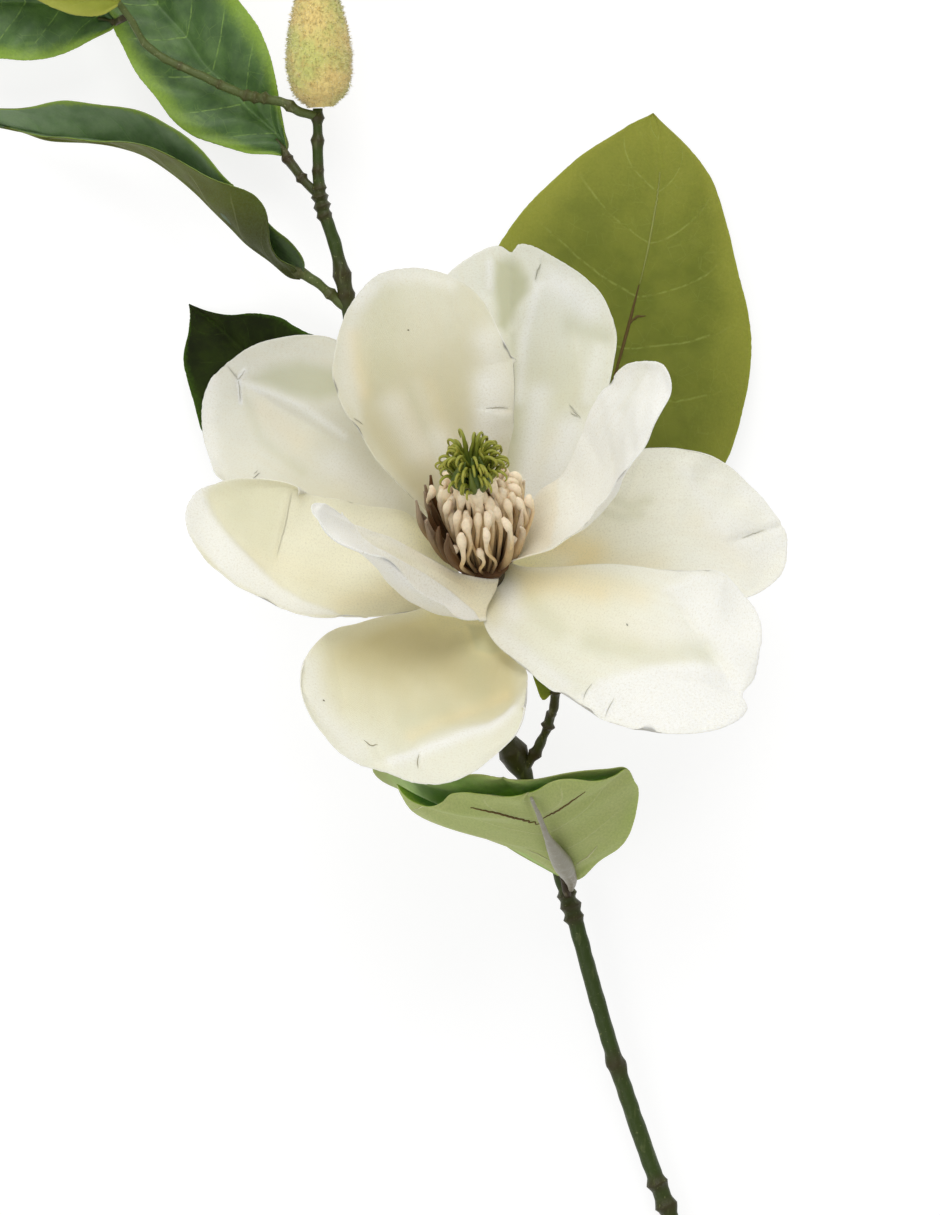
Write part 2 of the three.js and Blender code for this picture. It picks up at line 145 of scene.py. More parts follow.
def waves(p, scale, seed, count=7):
    """Soft irregular bumps from -1 to 1 or so: a sum of seeded plane waves."""
    r = np.random.RandomState(seed)
    total = 0
    for _ in range(count):
        k = r.normal(size=p.shape[-1])
        k *= r.uniform(0.6, 1.5) / max(np.linalg.norm(k), 1e-6)
        total = total + np.sin(2 * np.pi * (p @ k) / scale + r.uniform(0, 6.28))
    return total / count ** 0.5


# ------------------------------------------------------------------ meshes
def mesh_object(name, verts, faces, material, values):
    """A smooth mesh from points in mm; values are numbers or vectors for each point, for the material to
    read."""
    mesh = bpy.data.meshes.new(name)
    mesh.from_pydata(((np.asarray(verts) + SHIFT) * MM).tolist(), [], [tuple(f) for f in faces])
    mesh.materials.append(material)
    mesh.polygons.foreach_set("use_smooth", np.ones(len(mesh.polygons), bool))
    for key, data in values.items():
        data = np.asarray(data, float)
        kind, field = ("FLOAT", "value") if data.ndim == 1 else ("FLOAT_VECTOR", "vector")
        mesh.attributes.new(key, kind, "POINT").data.foreach_set(field, data.ravel())
    mesh.update()
    obj = bpy.data.objects.new(name, mesh)
    bpy.context.scene.collection.objects.link(obj)
    return obj


def settle(obj, node):
    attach(obj, "root")
    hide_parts(node)


def quads(rows, columns, start=0, turned=False, closed=False):
    """Faces of a grid of rows x columns points."""
    wide = columns if closed else columns - 1
    i, j = np.meshgrid(np.arange(rows - 1), np.arange(wide), indexing="ij")
    k = (j + 1) % columns
    f = np.stack([i * columns + j, i * columns + k, (i + 1) * columns + k, (i + 1) * columns + j], -1)
    f = f.reshape(-1, 4) + start
    return f[:, ::-1] if turned else f


def tube_points(line, radii, sides, rows, swellings=(), bumps=0.0, seed=0):
    """Rings of points round a line, each ring's share of length and how much it belongs to a knot. radii
    are at even steps; a swelling is (share of length, extra mm, mm to each side)."""
    s = np.linspace(0, 1, rows)
    if swellings:
        extra = [w + np.linspace(-1, 1, 9) * wide / line.length for w, _, wide in swellings]
        s = np.unique(np.clip(np.r_[s, np.concatenate(extra)], 0, 1).round(5))
    r, knot = smooth(radii, s), np.zeros(len(s))
    for where, more, wide in swellings:
        x = np.abs(s - where) * line.length / wide
        r = r + more * np.maximum(1 - x, 0) ** 1.3
        knot = np.maximum(knot, np.maximum(1 - x * 0.6, 0))
    t = line.tangent(s)
    n = np.zeros_like(t)
    n[0] = unit(np.cross(t[0], UP if abs(t[0] @ UP) < 0.9 else np.array([1.0, 0, 0])))
    for k in range(1, len(s)):
        n[k] = unit(n[k - 1] - t[k] * (n[k - 1] @ t[k]))
    a = np.linspace(0, 2 * math.pi, sides, endpoint=False)
    ring = n[:, None] * np.cos(a)[:, None] + np.cross(t, n)[:, None] * np.sin(a)[:, None]
    p = line.at(s)[:, None] + ring * r[:, None, None]
    if bumps:
        p = p + ring * (bumps * waves(p, 5.0, seed)[..., None] * (1 + knot[:, None, None]))
    return p, s, knot


def tube_faces(rows, sides, start=0):
    ends = [tuple(start + np.arange(sides)[::-1]), tuple(start + (rows - 1) * sides + np.arange(sides))]
    return [tuple(f) for f in quads(rows, sides, start, closed=True)] + ends


def tube_mesh(name, node, slot, look, tubes, **shades):
    """One mesh of several tubes, each as tube_points gives it. A shade holds one number for each tube."""
    verts, faces, parts, start = [], [], [], 0
    for k, (p, s, knot) in enumerate(tubes):
        rows, sides = p.shape[:2]
        verts.append(p.reshape(-1, 3))
        faces += tube_faces(rows, sides, start)
        parts.append([np.repeat(s, sides), np.repeat(knot, sides),
                      *(np.full(rows * sides, x[k]) for x in shades.values())])
        start += rows * sides
    values = {key: np.concatenate(x) for key, x in zip(("along", "knot", *shades), zip(*parts))}
    settle(mesh_object(name, np.vstack(verts), faces, look, values), node)


# ------------------------------------------------------------------ cloth
def crease(g, u1, v1, u2, v2, depth, width, step=0.0):
    """A fold pressed along a line of the grid: a ridge or valley of `depth` mm, and `step` mm from side to
    side."""
    a, d = np.array([u1, v1], float), np.array([u2 - u1, v2 - v1], float)
    t = ((g - a) @ d) / (d @ d)
    x = ((g - a) @ np.array([-d[1], d[0]])) / np.linalg.norm(d)
    fade = ease(t, -0.12, 0.2) * (1 - ease(t, 0.75, 1.12))
    side = step * np.tanh(x / 1.5) * np.exp(-((x / (6 * width)) ** 2))
    return fade * (depth * np.exp(-np.abs(x) / width) + side)


def touch(g, places, width, patch):
    """1 on a stroke through places on the grid, or inside a closed patch of them, fading to 0 over
    `width`."""
    a = pairs(places)
    b = np.roll(a, -1, axis=0) if patch else a[1:]
    far = np.full(g.shape[:-1], 1e6)
    inside = np.zeros(g.shape[:-1], bool)
    for p, q in zip(a, b):
        d = q - p
        t = np.clip(((g - p) @ d) / (d @ d), 0, 1)
        far = np.minimum(far, np.linalg.norm(g - p - t[..., None] * d, axis=-1))
        across = (p[1] > g[..., 1]) != (q[1] > g[..., 1])
        inside ^= across & (g[..., 0] < d[0] * (g[..., 1] - p[1]) / (d[1] or 1e-9) + p[0])
    if not patch:
        return np.exp(-((far / width) ** 2))
    return ease(np.where(inside, far, -far), -width, width)


def pulled(p, pulls, radius=20.0):
    """Points drawn sideways like soft clay, with the heights kept: a pull is (u, v, new u, new v)."""
    pulls = np.array(pulls, float)
    start, shift = pulls[:, :2], pulls[:, 2:] - pulls[:, :2]
    near = np.exp(-((on_grid(p)[..., None, :] - start) ** 2).sum(-1) / radius ** 2)
    move = near @ shift / (near.sum(-1, keepdims=True) + 0.12)
    k = grid_mm(p[..., 2:])
    return p + np.concatenate([move[..., :1] * k, -move[..., 1:] * k, 0 * k], -1)


def skin(name, b, shape, detail, look, rows, columns, thickness, fray):
    """A sheet of cloth. shape(u, v) gives its points, their share of length and mm from the midline, and
    detail its relief in mm. b may hold touches, soft strokes or closed patches of painted light and shade
    and of relief: (kind, share, lift in mm, width, u, v ...). A light touch paints light, a cool touch
    paints shade, and a warm touch a tan that is partly the cloth's own and partly painted shade. b may also
    hold marks, fine ridges: (radius in mm, tone, 1 on the upper or -1 on the lower face, u, v ...). Their
    tone darkens the colour, as specks and scratches, and in places as painted shadow lines along folds."""
    v = np.sin(np.linspace(-1, 1, columns) * math.pi / 2)
    U, V = np.meshgrid(np.linspace(0, 1, rows), v, indexing="ij")
    p, s, w = shape(U, V)
    du, dv = np.gradient(p, axis=0), np.gradient(p, axis=1)
    g = on_grid(p)
    # The touches paint light and shade into the colour: light holds painted light, cool painted shade, and
    # warm a tan, partly the cloth's own and partly painted shade.
    lift, shade = detail(b, s, V, w, g, U), {"light": 0 * s, "warm": 0 * s, "cool": 0 * s}
    for kind, amount, height, width, *places in b.get("touches", ()):
        value = touch(g, places, width, kind.endswith("patch"))
        lift, kind = lift + height * value, kind.split()[0]
        shade[kind] = 1 - (1 - shade[kind]) * (1 - amount * value)
    p = p + normals(p) * lift[..., None]
    loose = np.random.RandomState(rows + columns + int(abs(p[0, 0, 0]) * 10)).uniform(-1, 1, (rows, columns))
    loose, rim = loose[..., None] * fray, (np.abs(V) > 0.999) | (U > 0.999) | (U < 0.001)
    ends = unit(dv) * np.sign(V)[..., None] * loose + unit(du) * loose * (U > 0.5)[..., None]
    p = p + np.where(rim[..., None], ends, 0)
    n = normals(p)
    edge = np.minimum(np.minimum(1 - np.abs(V), 1 - U), U) * 40
    half = thickness / 2 * (0.45 + 0.55 * np.sqrt(np.clip(edge, 0, 1)))[..., None]
    low = rows * columns
    ring = np.r_[np.arange(columns), np.arange(2, rows) * columns - 1,
                 np.arange(low - 1, (rows - 1) * columns - 1, -1), np.arange(rows - 2, 0, -1) * columns]
    after = np.roll(ring, -1)
    faces = np.vstack([quads(rows, columns), quads(rows, columns, low, turned=True),
                       np.stack([ring, ring + low, after + low, after], -1)])
    faces = [tuple(f) for f in faces]
    both = lambda x: np.tile(np.asarray(x).reshape(low, -1), (2, 1)).squeeze()
    cloth = np.stack([w, s * b["line"].length, np.zeros_like(s)], -1)
    values = {"along": both(s), "across": both(V), "side": np.r_[np.ones(low), np.zeros(low)],
              "cloth": both(cloth), "mark": np.zeros(2 * low), **{key: both(x) for key, x in shade.items()}}
    verts = np.vstack([(p + n * half).reshape(-1, 3), (p - n * half).reshape(-1, 3)])
    g, p, n = on_grid(p).reshape(-1, 2), p.reshape(-1, 3), n.reshape(-1, 3)
    for radius, tone, face, *places in b.get("marks", ()):
        path = pairs(places)
        far = np.r_[0, np.cumsum(np.linalg.norm(np.diff(path, axis=0), axis=1))]
        t = np.linspace(0, far[-1], max(int(far[-1] / 2), 5))
        spots = np.stack([np.interp(t, far, path[:, k]) for k in (0, 1)], -1)
        gap = np.linalg.norm(g[None] - spots[:, None], axis=-1)
        near = np.argsort(gap, axis=1)[:, :5]
        share = 1 / (np.take_along_axis(gap, near, 1) + 0.3)
        share = (share / share.sum(1, keepdims=True))[..., None]
        middle = (p[near] * share).sum(1) + unit((n[near] * share).sum(1)) * (thickness / 2 * face)
        tube, ts, _ = tube_points(Line(middle), [radius * 0.5, radius, radius, radius * 0.4], 6, len(t) * 2)
        faces += tube_faces(len(ts), 6, len(verts))
        verts = np.vstack([verts, tube.reshape(-1, 3)])
        own = {"along": 0.5, "side": float(face > 0), "mark": tone}
        for key, old in values.items():
            values[key] = np.concatenate([old, np.full((len(ts) * 6, *old.shape[1:]), own.get(key, 0.0))])
    return mesh_object(name, verts, faces, look, values)


# ------------------------------------------------------------------ materials
def rgb(*colour):
    """A colour as seen on screen, 0 to 255, as the linear colour that a shader takes."""
    shares = (c / 255 for c in colour)
    return (*(c / 12.92 if c <= 0.04045 else ((c + 0.055) / 1.055) ** 2.4 for c in shares), 1.0)


class Look:
    """A material built from nodes. Colours are given as seen on screen, 0 to 255."""

    def __init__(self, name, roughness, **sockets):
        self.material = bpy.data.materials.new(name)
        self.material.use_nodes = True
        self.tree = self.material.node_tree
        self.tree.nodes.clear()
        self.shader = self.node("BsdfPrincipled", Roughness=roughness, **sockets)
        out = self.tree.nodes.new("ShaderNodeOutputMaterial")
        self.tree.links.new(self.shader.outputs[0], out.inputs[0])

    def put(self, socket, value):
        if isinstance(value, bpy.types.NodeSocket):
            self.tree.links.new(value, socket)
        else:
            socket.default_value = rgb(*value) if socket.type == "RGBA" else value

    def node(self, kind, settings=None, **sockets):
        """A new node with its settings, and its input sockets by name, with _ for a space."""
        n = self.tree.nodes.new("ShaderNode" + kind)
        for key, value in (settings or {}).items():
            setattr(n, key, value)
        for key, value in sockets.items():
            self.put(n.inputs[key.replace("_", " ")], value)
        return n

    def value(self, name):
        return self.node("Attribute", {"attribute_name": name}).outputs["Fac"]

    def vector(self, name):
        return self.node("Attribute", {"attribute_name": name}).outputs["Vector"]

    def place(self):
        return self.node("TexCoord").outputs["Object"]

    def part(self, vector, k):
        return self.node("SeparateXYZ", Vector=vector).outputs[k]

    def math(self, operation, *values):
        n = self.node("Math", {"operation": operation})
        for socket, value in zip(n.inputs, values):
            self.put(socket, value)
        return n.outputs[0]

    def plus(self, a, b):
        return self.math("ADD", a, b)

    def minus(self, a, b):
        return self.math("SUBTRACT", a, b)

    def times(self, a, b):
        return self.math("MULTIPLY", a, b)

    def larger(self, a, b):
        return self.math("MAXIMUM", a, b)

    def size(self, a):
        return self.math("ABSOLUTE", a)

    def span(self, value, low, high, top=1.0):
        """0 to top, as value goes from low to high."""
        return self.node("MapRange", {"interpolation_type": "SMOOTHSTEP"},
                         Value=value, From_Min=low, From_Max=high, To_Max=top).outputs[0]

    def mix(self, share, a, b):
        n = self.node("Mix", {"data_type": "RGBA"})
        for k, value in ((0, share), (6, a), (7, b)):
            self.put(n.inputs[k], value)
        return n.outputs[2]

    def tint(self, under, value, low, high, colour, amount=1.0):
        """`under` turned into a colour as value goes from low to high."""
        return self.mix(self.span(value, low, high, amount), under, colour)

    def noise(self, vector, scale, detail=3.0, roughness=0.55):
        n = self.node("TexNoise", Vector=vector, Scale=scale, Detail=detail, Roughness=roughness)
        return n.outputs["Fac"]

    def stretched(self, vector, *scale):
        return self.node("Mapping", Vector=vector, Scale=scale).outputs[0]

    def colour(self, value):
        self.put(self.shader.inputs["Base Color"], value)

    def bump(self, height, distance, strength):
        self.put(self.shader.inputs["Normal"],
                 self.node("Bump", Height=height, Distance=distance, Strength=strength).outputs[0])


def weave(look, cloth, threads_mm):
    """Height of a plain weave, threads_mm apart, from cloth coordinates in mm."""
    turns = 2 * math.pi / threads_mm
    return look.times(*(look.math("SINE", look.times(look.part(cloth, k), turns)) for k in (0, 1)))


def petal_look(name, b):
    base, middle, tip = b["colours"]
    warm_to = b["warm_to"]
    look = Look(name, 0.8, Sheen_Weight=0.06, Sheen_Roughness=0.5, Specular_IOR_Level=0.2,
                Subsurface_Weight=0.6, Subsurface_Scale=0.0035, Subsurface_Radius=(1.0, 0.95, 0.8))
    cloth = look.vector("cloth")
    soft = look.plus(look.value("along"), look.times(look.minus(look.noise(cloth, 0.035), 0.5), 0.35))
    c = look.tint(base, soft, 0.02, warm_to * 0.5, middle)
    c = look.tint(c, soft, warm_to * 0.55, warm_to + 0.35, tip)
    # Lighter towards the edges: partly the cloth's paler margins, partly painted light on the turned-up rims.
    c = look.tint(c, look.size(look.value("across")), 0.72, 0.99, tip, 0.55)
    streaks = look.noise(look.stretched(cloth, 1.0, 0.12, 1.0), 0.5, 4.0, 0.6)
    c = look.tint(c, streaks, 0.35, 0.75, (214, 196, 158), 0.10)
    c = look.tint(c, look.noise(cloth, 1.6, 2.0, 0.7), 0.62, 0.80, (190, 172, 140), 0.10)
    c = look.mix(look.value("side"), (244, 241, 226), c)
    # The touches' painted light and shade: warm a tan, partly the cloth's own and partly painted shade; cool
    # painted shade; light painted light.
    for kind, shade in ("warm", (241, 213, 160)), ("cool", (176, 178, 144)), ("light", (250, 249, 241)):
        c = look.mix(look.value(kind), c, shade)
    c = look.tint(c, look.noise(cloth, 1.5, 3.0, 0.85), 0.46, 0.66, (200, 190, 158), 0.28)
    c = look.tint(c, look.noise(cloth, 0.75, 4.0, 0.9), 0.54, 0.70, (190, 174, 136), 0.17)
    look.colour(look.tint(c, look.value("mark"), 0.05, 1.0, (96, 90, 66)))
    height = look.plus(look.times(weave(look, cloth, 0.55), 0.22), look.noise(cloth, 2.2, 4.0, 0.7))
    look.bump(height, 0.00022, 0.6)
    return look.material


def leaf_look(name, b):
    top, top_dark, margin, under, vein_top, vein_under = b["colours"]
    gloss, rib = b.get("gloss", 0.45), b.get("rib", 0.2)
    foot, foot_from, foot_to = b.get("foot", (0.0, 0.5, 0.1))
    look = Look(name, gloss, Specular_IOR_Level=0.34 if gloss < 0.5 else 0.12,
                Subsurface_Weight=0.35, Subsurface_Scale=0.002, Subsurface_Radius=(0.8, 1.0, 0.5))
    s, cloth, mark = look.value("along"), look.vector("cloth"), look.value("mark")
    side = look.size(look.value("across"))
    wobble = look.times(look.minus(look.noise(cloth, 0.06), 0.5), 0.5)
    slant = look.times(look.math("POWER", side, 1.2), 1.1)
    phase = look.plus(look.minus(look.times(s, b["veins"]), slant), look.times(wobble, 0.35))
    saw = look.size(look.minus(look.math("FRACT", phase), 0.5))
    veins = look.times(look.span(saw, 0.035, 0.0), look.span(side, 0.95, 0.6))
    midrib = look.span(look.size(look.part(cloth, 0)), 0.75, 0.2)
    cells = look.node("TexVoronoi", {"feature": "DISTANCE_TO_EDGE"}, Vector=cloth, Scale=0.22)
    net = look.span(cells.outputs["Distance"], 0.035, 0.0)
    net = look.times(net, look.span(look.noise(cloth, 0.12, 2.0), 0.42, 0.62))
    blotch = look.noise(cloth, 0.07, 4.0, 0.6)
    edge = look.larger(look.plus(side, look.times(wobble, 0.55)), look.times(s, 0.92))
    edge = look.plus(edge, look.times(look.minus(look.noise(cloth, 0.9, 3.0, 0.7), 0.5), 0.22))
    c = look.tint(top_dark, blotch, 0.35, 0.65, top)
    c = look.tint(c, edge, b["margin_from"], 0.99, margin)
    fine = look.span(look.noise(cloth, 0.4, 2.0), 0.34, 0.60, 0.55)
    lines = look.larger(look.times(veins, fine), look.times(net, 0.18))
    c = look.mix(look.larger(lines, look.times(midrib, rib)), c, vein_top)
    d = look.tint(under, blotch, 0.3, 0.7, look.mix(0.5, under, margin), 0.35)
    lines = look.larger(look.times(veins, 0.6), look.times(midrib, rib))
    d = look.mix(look.larger(lines, look.times(net, 0.12)), d, vein_under)
    c = look.mix(look.value("side"), d, c)
    c = look.tint(c, s, foot_from, foot_to, (38, 40, 18), foot)
    c = look.tint(c, look.noise(cloth, 1.3, 3.0, 0.7), 0.35, 0.7, top_dark, 0.22)
    ridge = look.tint(vein_under, mark, 0.3, 0.95, (98, 80, 46))
    look.colour(look.tint(c, mark, 0.05, 0.15, ridge))
    height = look.times(look.noise(cloth, 1.4, 4.0, 0.7), 0.8)
    height = look.plus(height, look.times(weave(look, cloth, 0.5), 0.12))
    look.bump(look.minus(height, look.times(look.larger(veins, midrib), 0.8)), 0.00018, 0.5)
    return look.material


def bark_look(name, green, brown, pale, roughness=0.45, share=0.5):
    look = Look(name, roughness, Specular_IOR_Level=0.3)
    p = look.place()
    c = look.tint(green, look.noise(p, 55.0, 4.0, 0.6), share, share + 0.16, brown)
    c = look.mix(look.times(look.value("knot"), 0.75), c, brown)
    streak = look.noise(look.stretched(p, 1.0, 0.25, 1.0), 420.0, 3.0, 0.6)
    c = look.tint(c, streak, 0.56, 0.72, pale, 0.35)
    look.colour(look.tint(c, look.noise(p, 900.0, 2.0, 0.5), 0.66, 0.74, pale, 0.7))
    look.bump(look.plus(look.noise(p, 330.0, 5.0, 0.65), look.times(streak, 0.6)), 0.0005, 0.8)
    return look.material


def strand_look(name, low, middle, high, dark, roughness=0.5):
    look = Look(name, roughness, Specular_IOR_Level=0.35, Subsurface_Weight=0.05, Subsurface_Scale=0.002)
    s = look.value("along")
    # Darker towards the roots: partly the strands' own brown or green, partly painted shade deep in the
    # crown.
    c = look.tint(low, s, 0.12, 0.55, middle)
    c = look.tint(c, s, 0.55, 0.9, high)
    # dark turns a whole strand to the dark colour: the slats' own brown, and painted shade on the disc and
    # core at the stamens' foot.
    c = look.mix(look.value("dark"), c, dark)
    grain = look.noise(look.place(), 800.0, 3.0, 0.6)
    c = look.tint(c, grain, 0.4, 0.7, low, 0.15)
    look.colour(look.mix(look.times(look.value("tone"), 0.35), c, middle))
    look.bump(grain, 0.0001, 0.4)
    return look.material


# ------------------------------------------------------------------ petals
TILT = math.radians(45)
AXIS = unit(np.array([-0.09, math.sin(TILT), math.cos(TILT)]))
SIDE = unit(np.array([1.0, 0, 0]) - AXIS * AXIS[0])
BACK = unit(np.cross(AXIS, SIDE))
FLOWER_BASE = at(484, 562, 60)
PETAL_GRID, PETAL_FRAY = (130, 110), 0.14
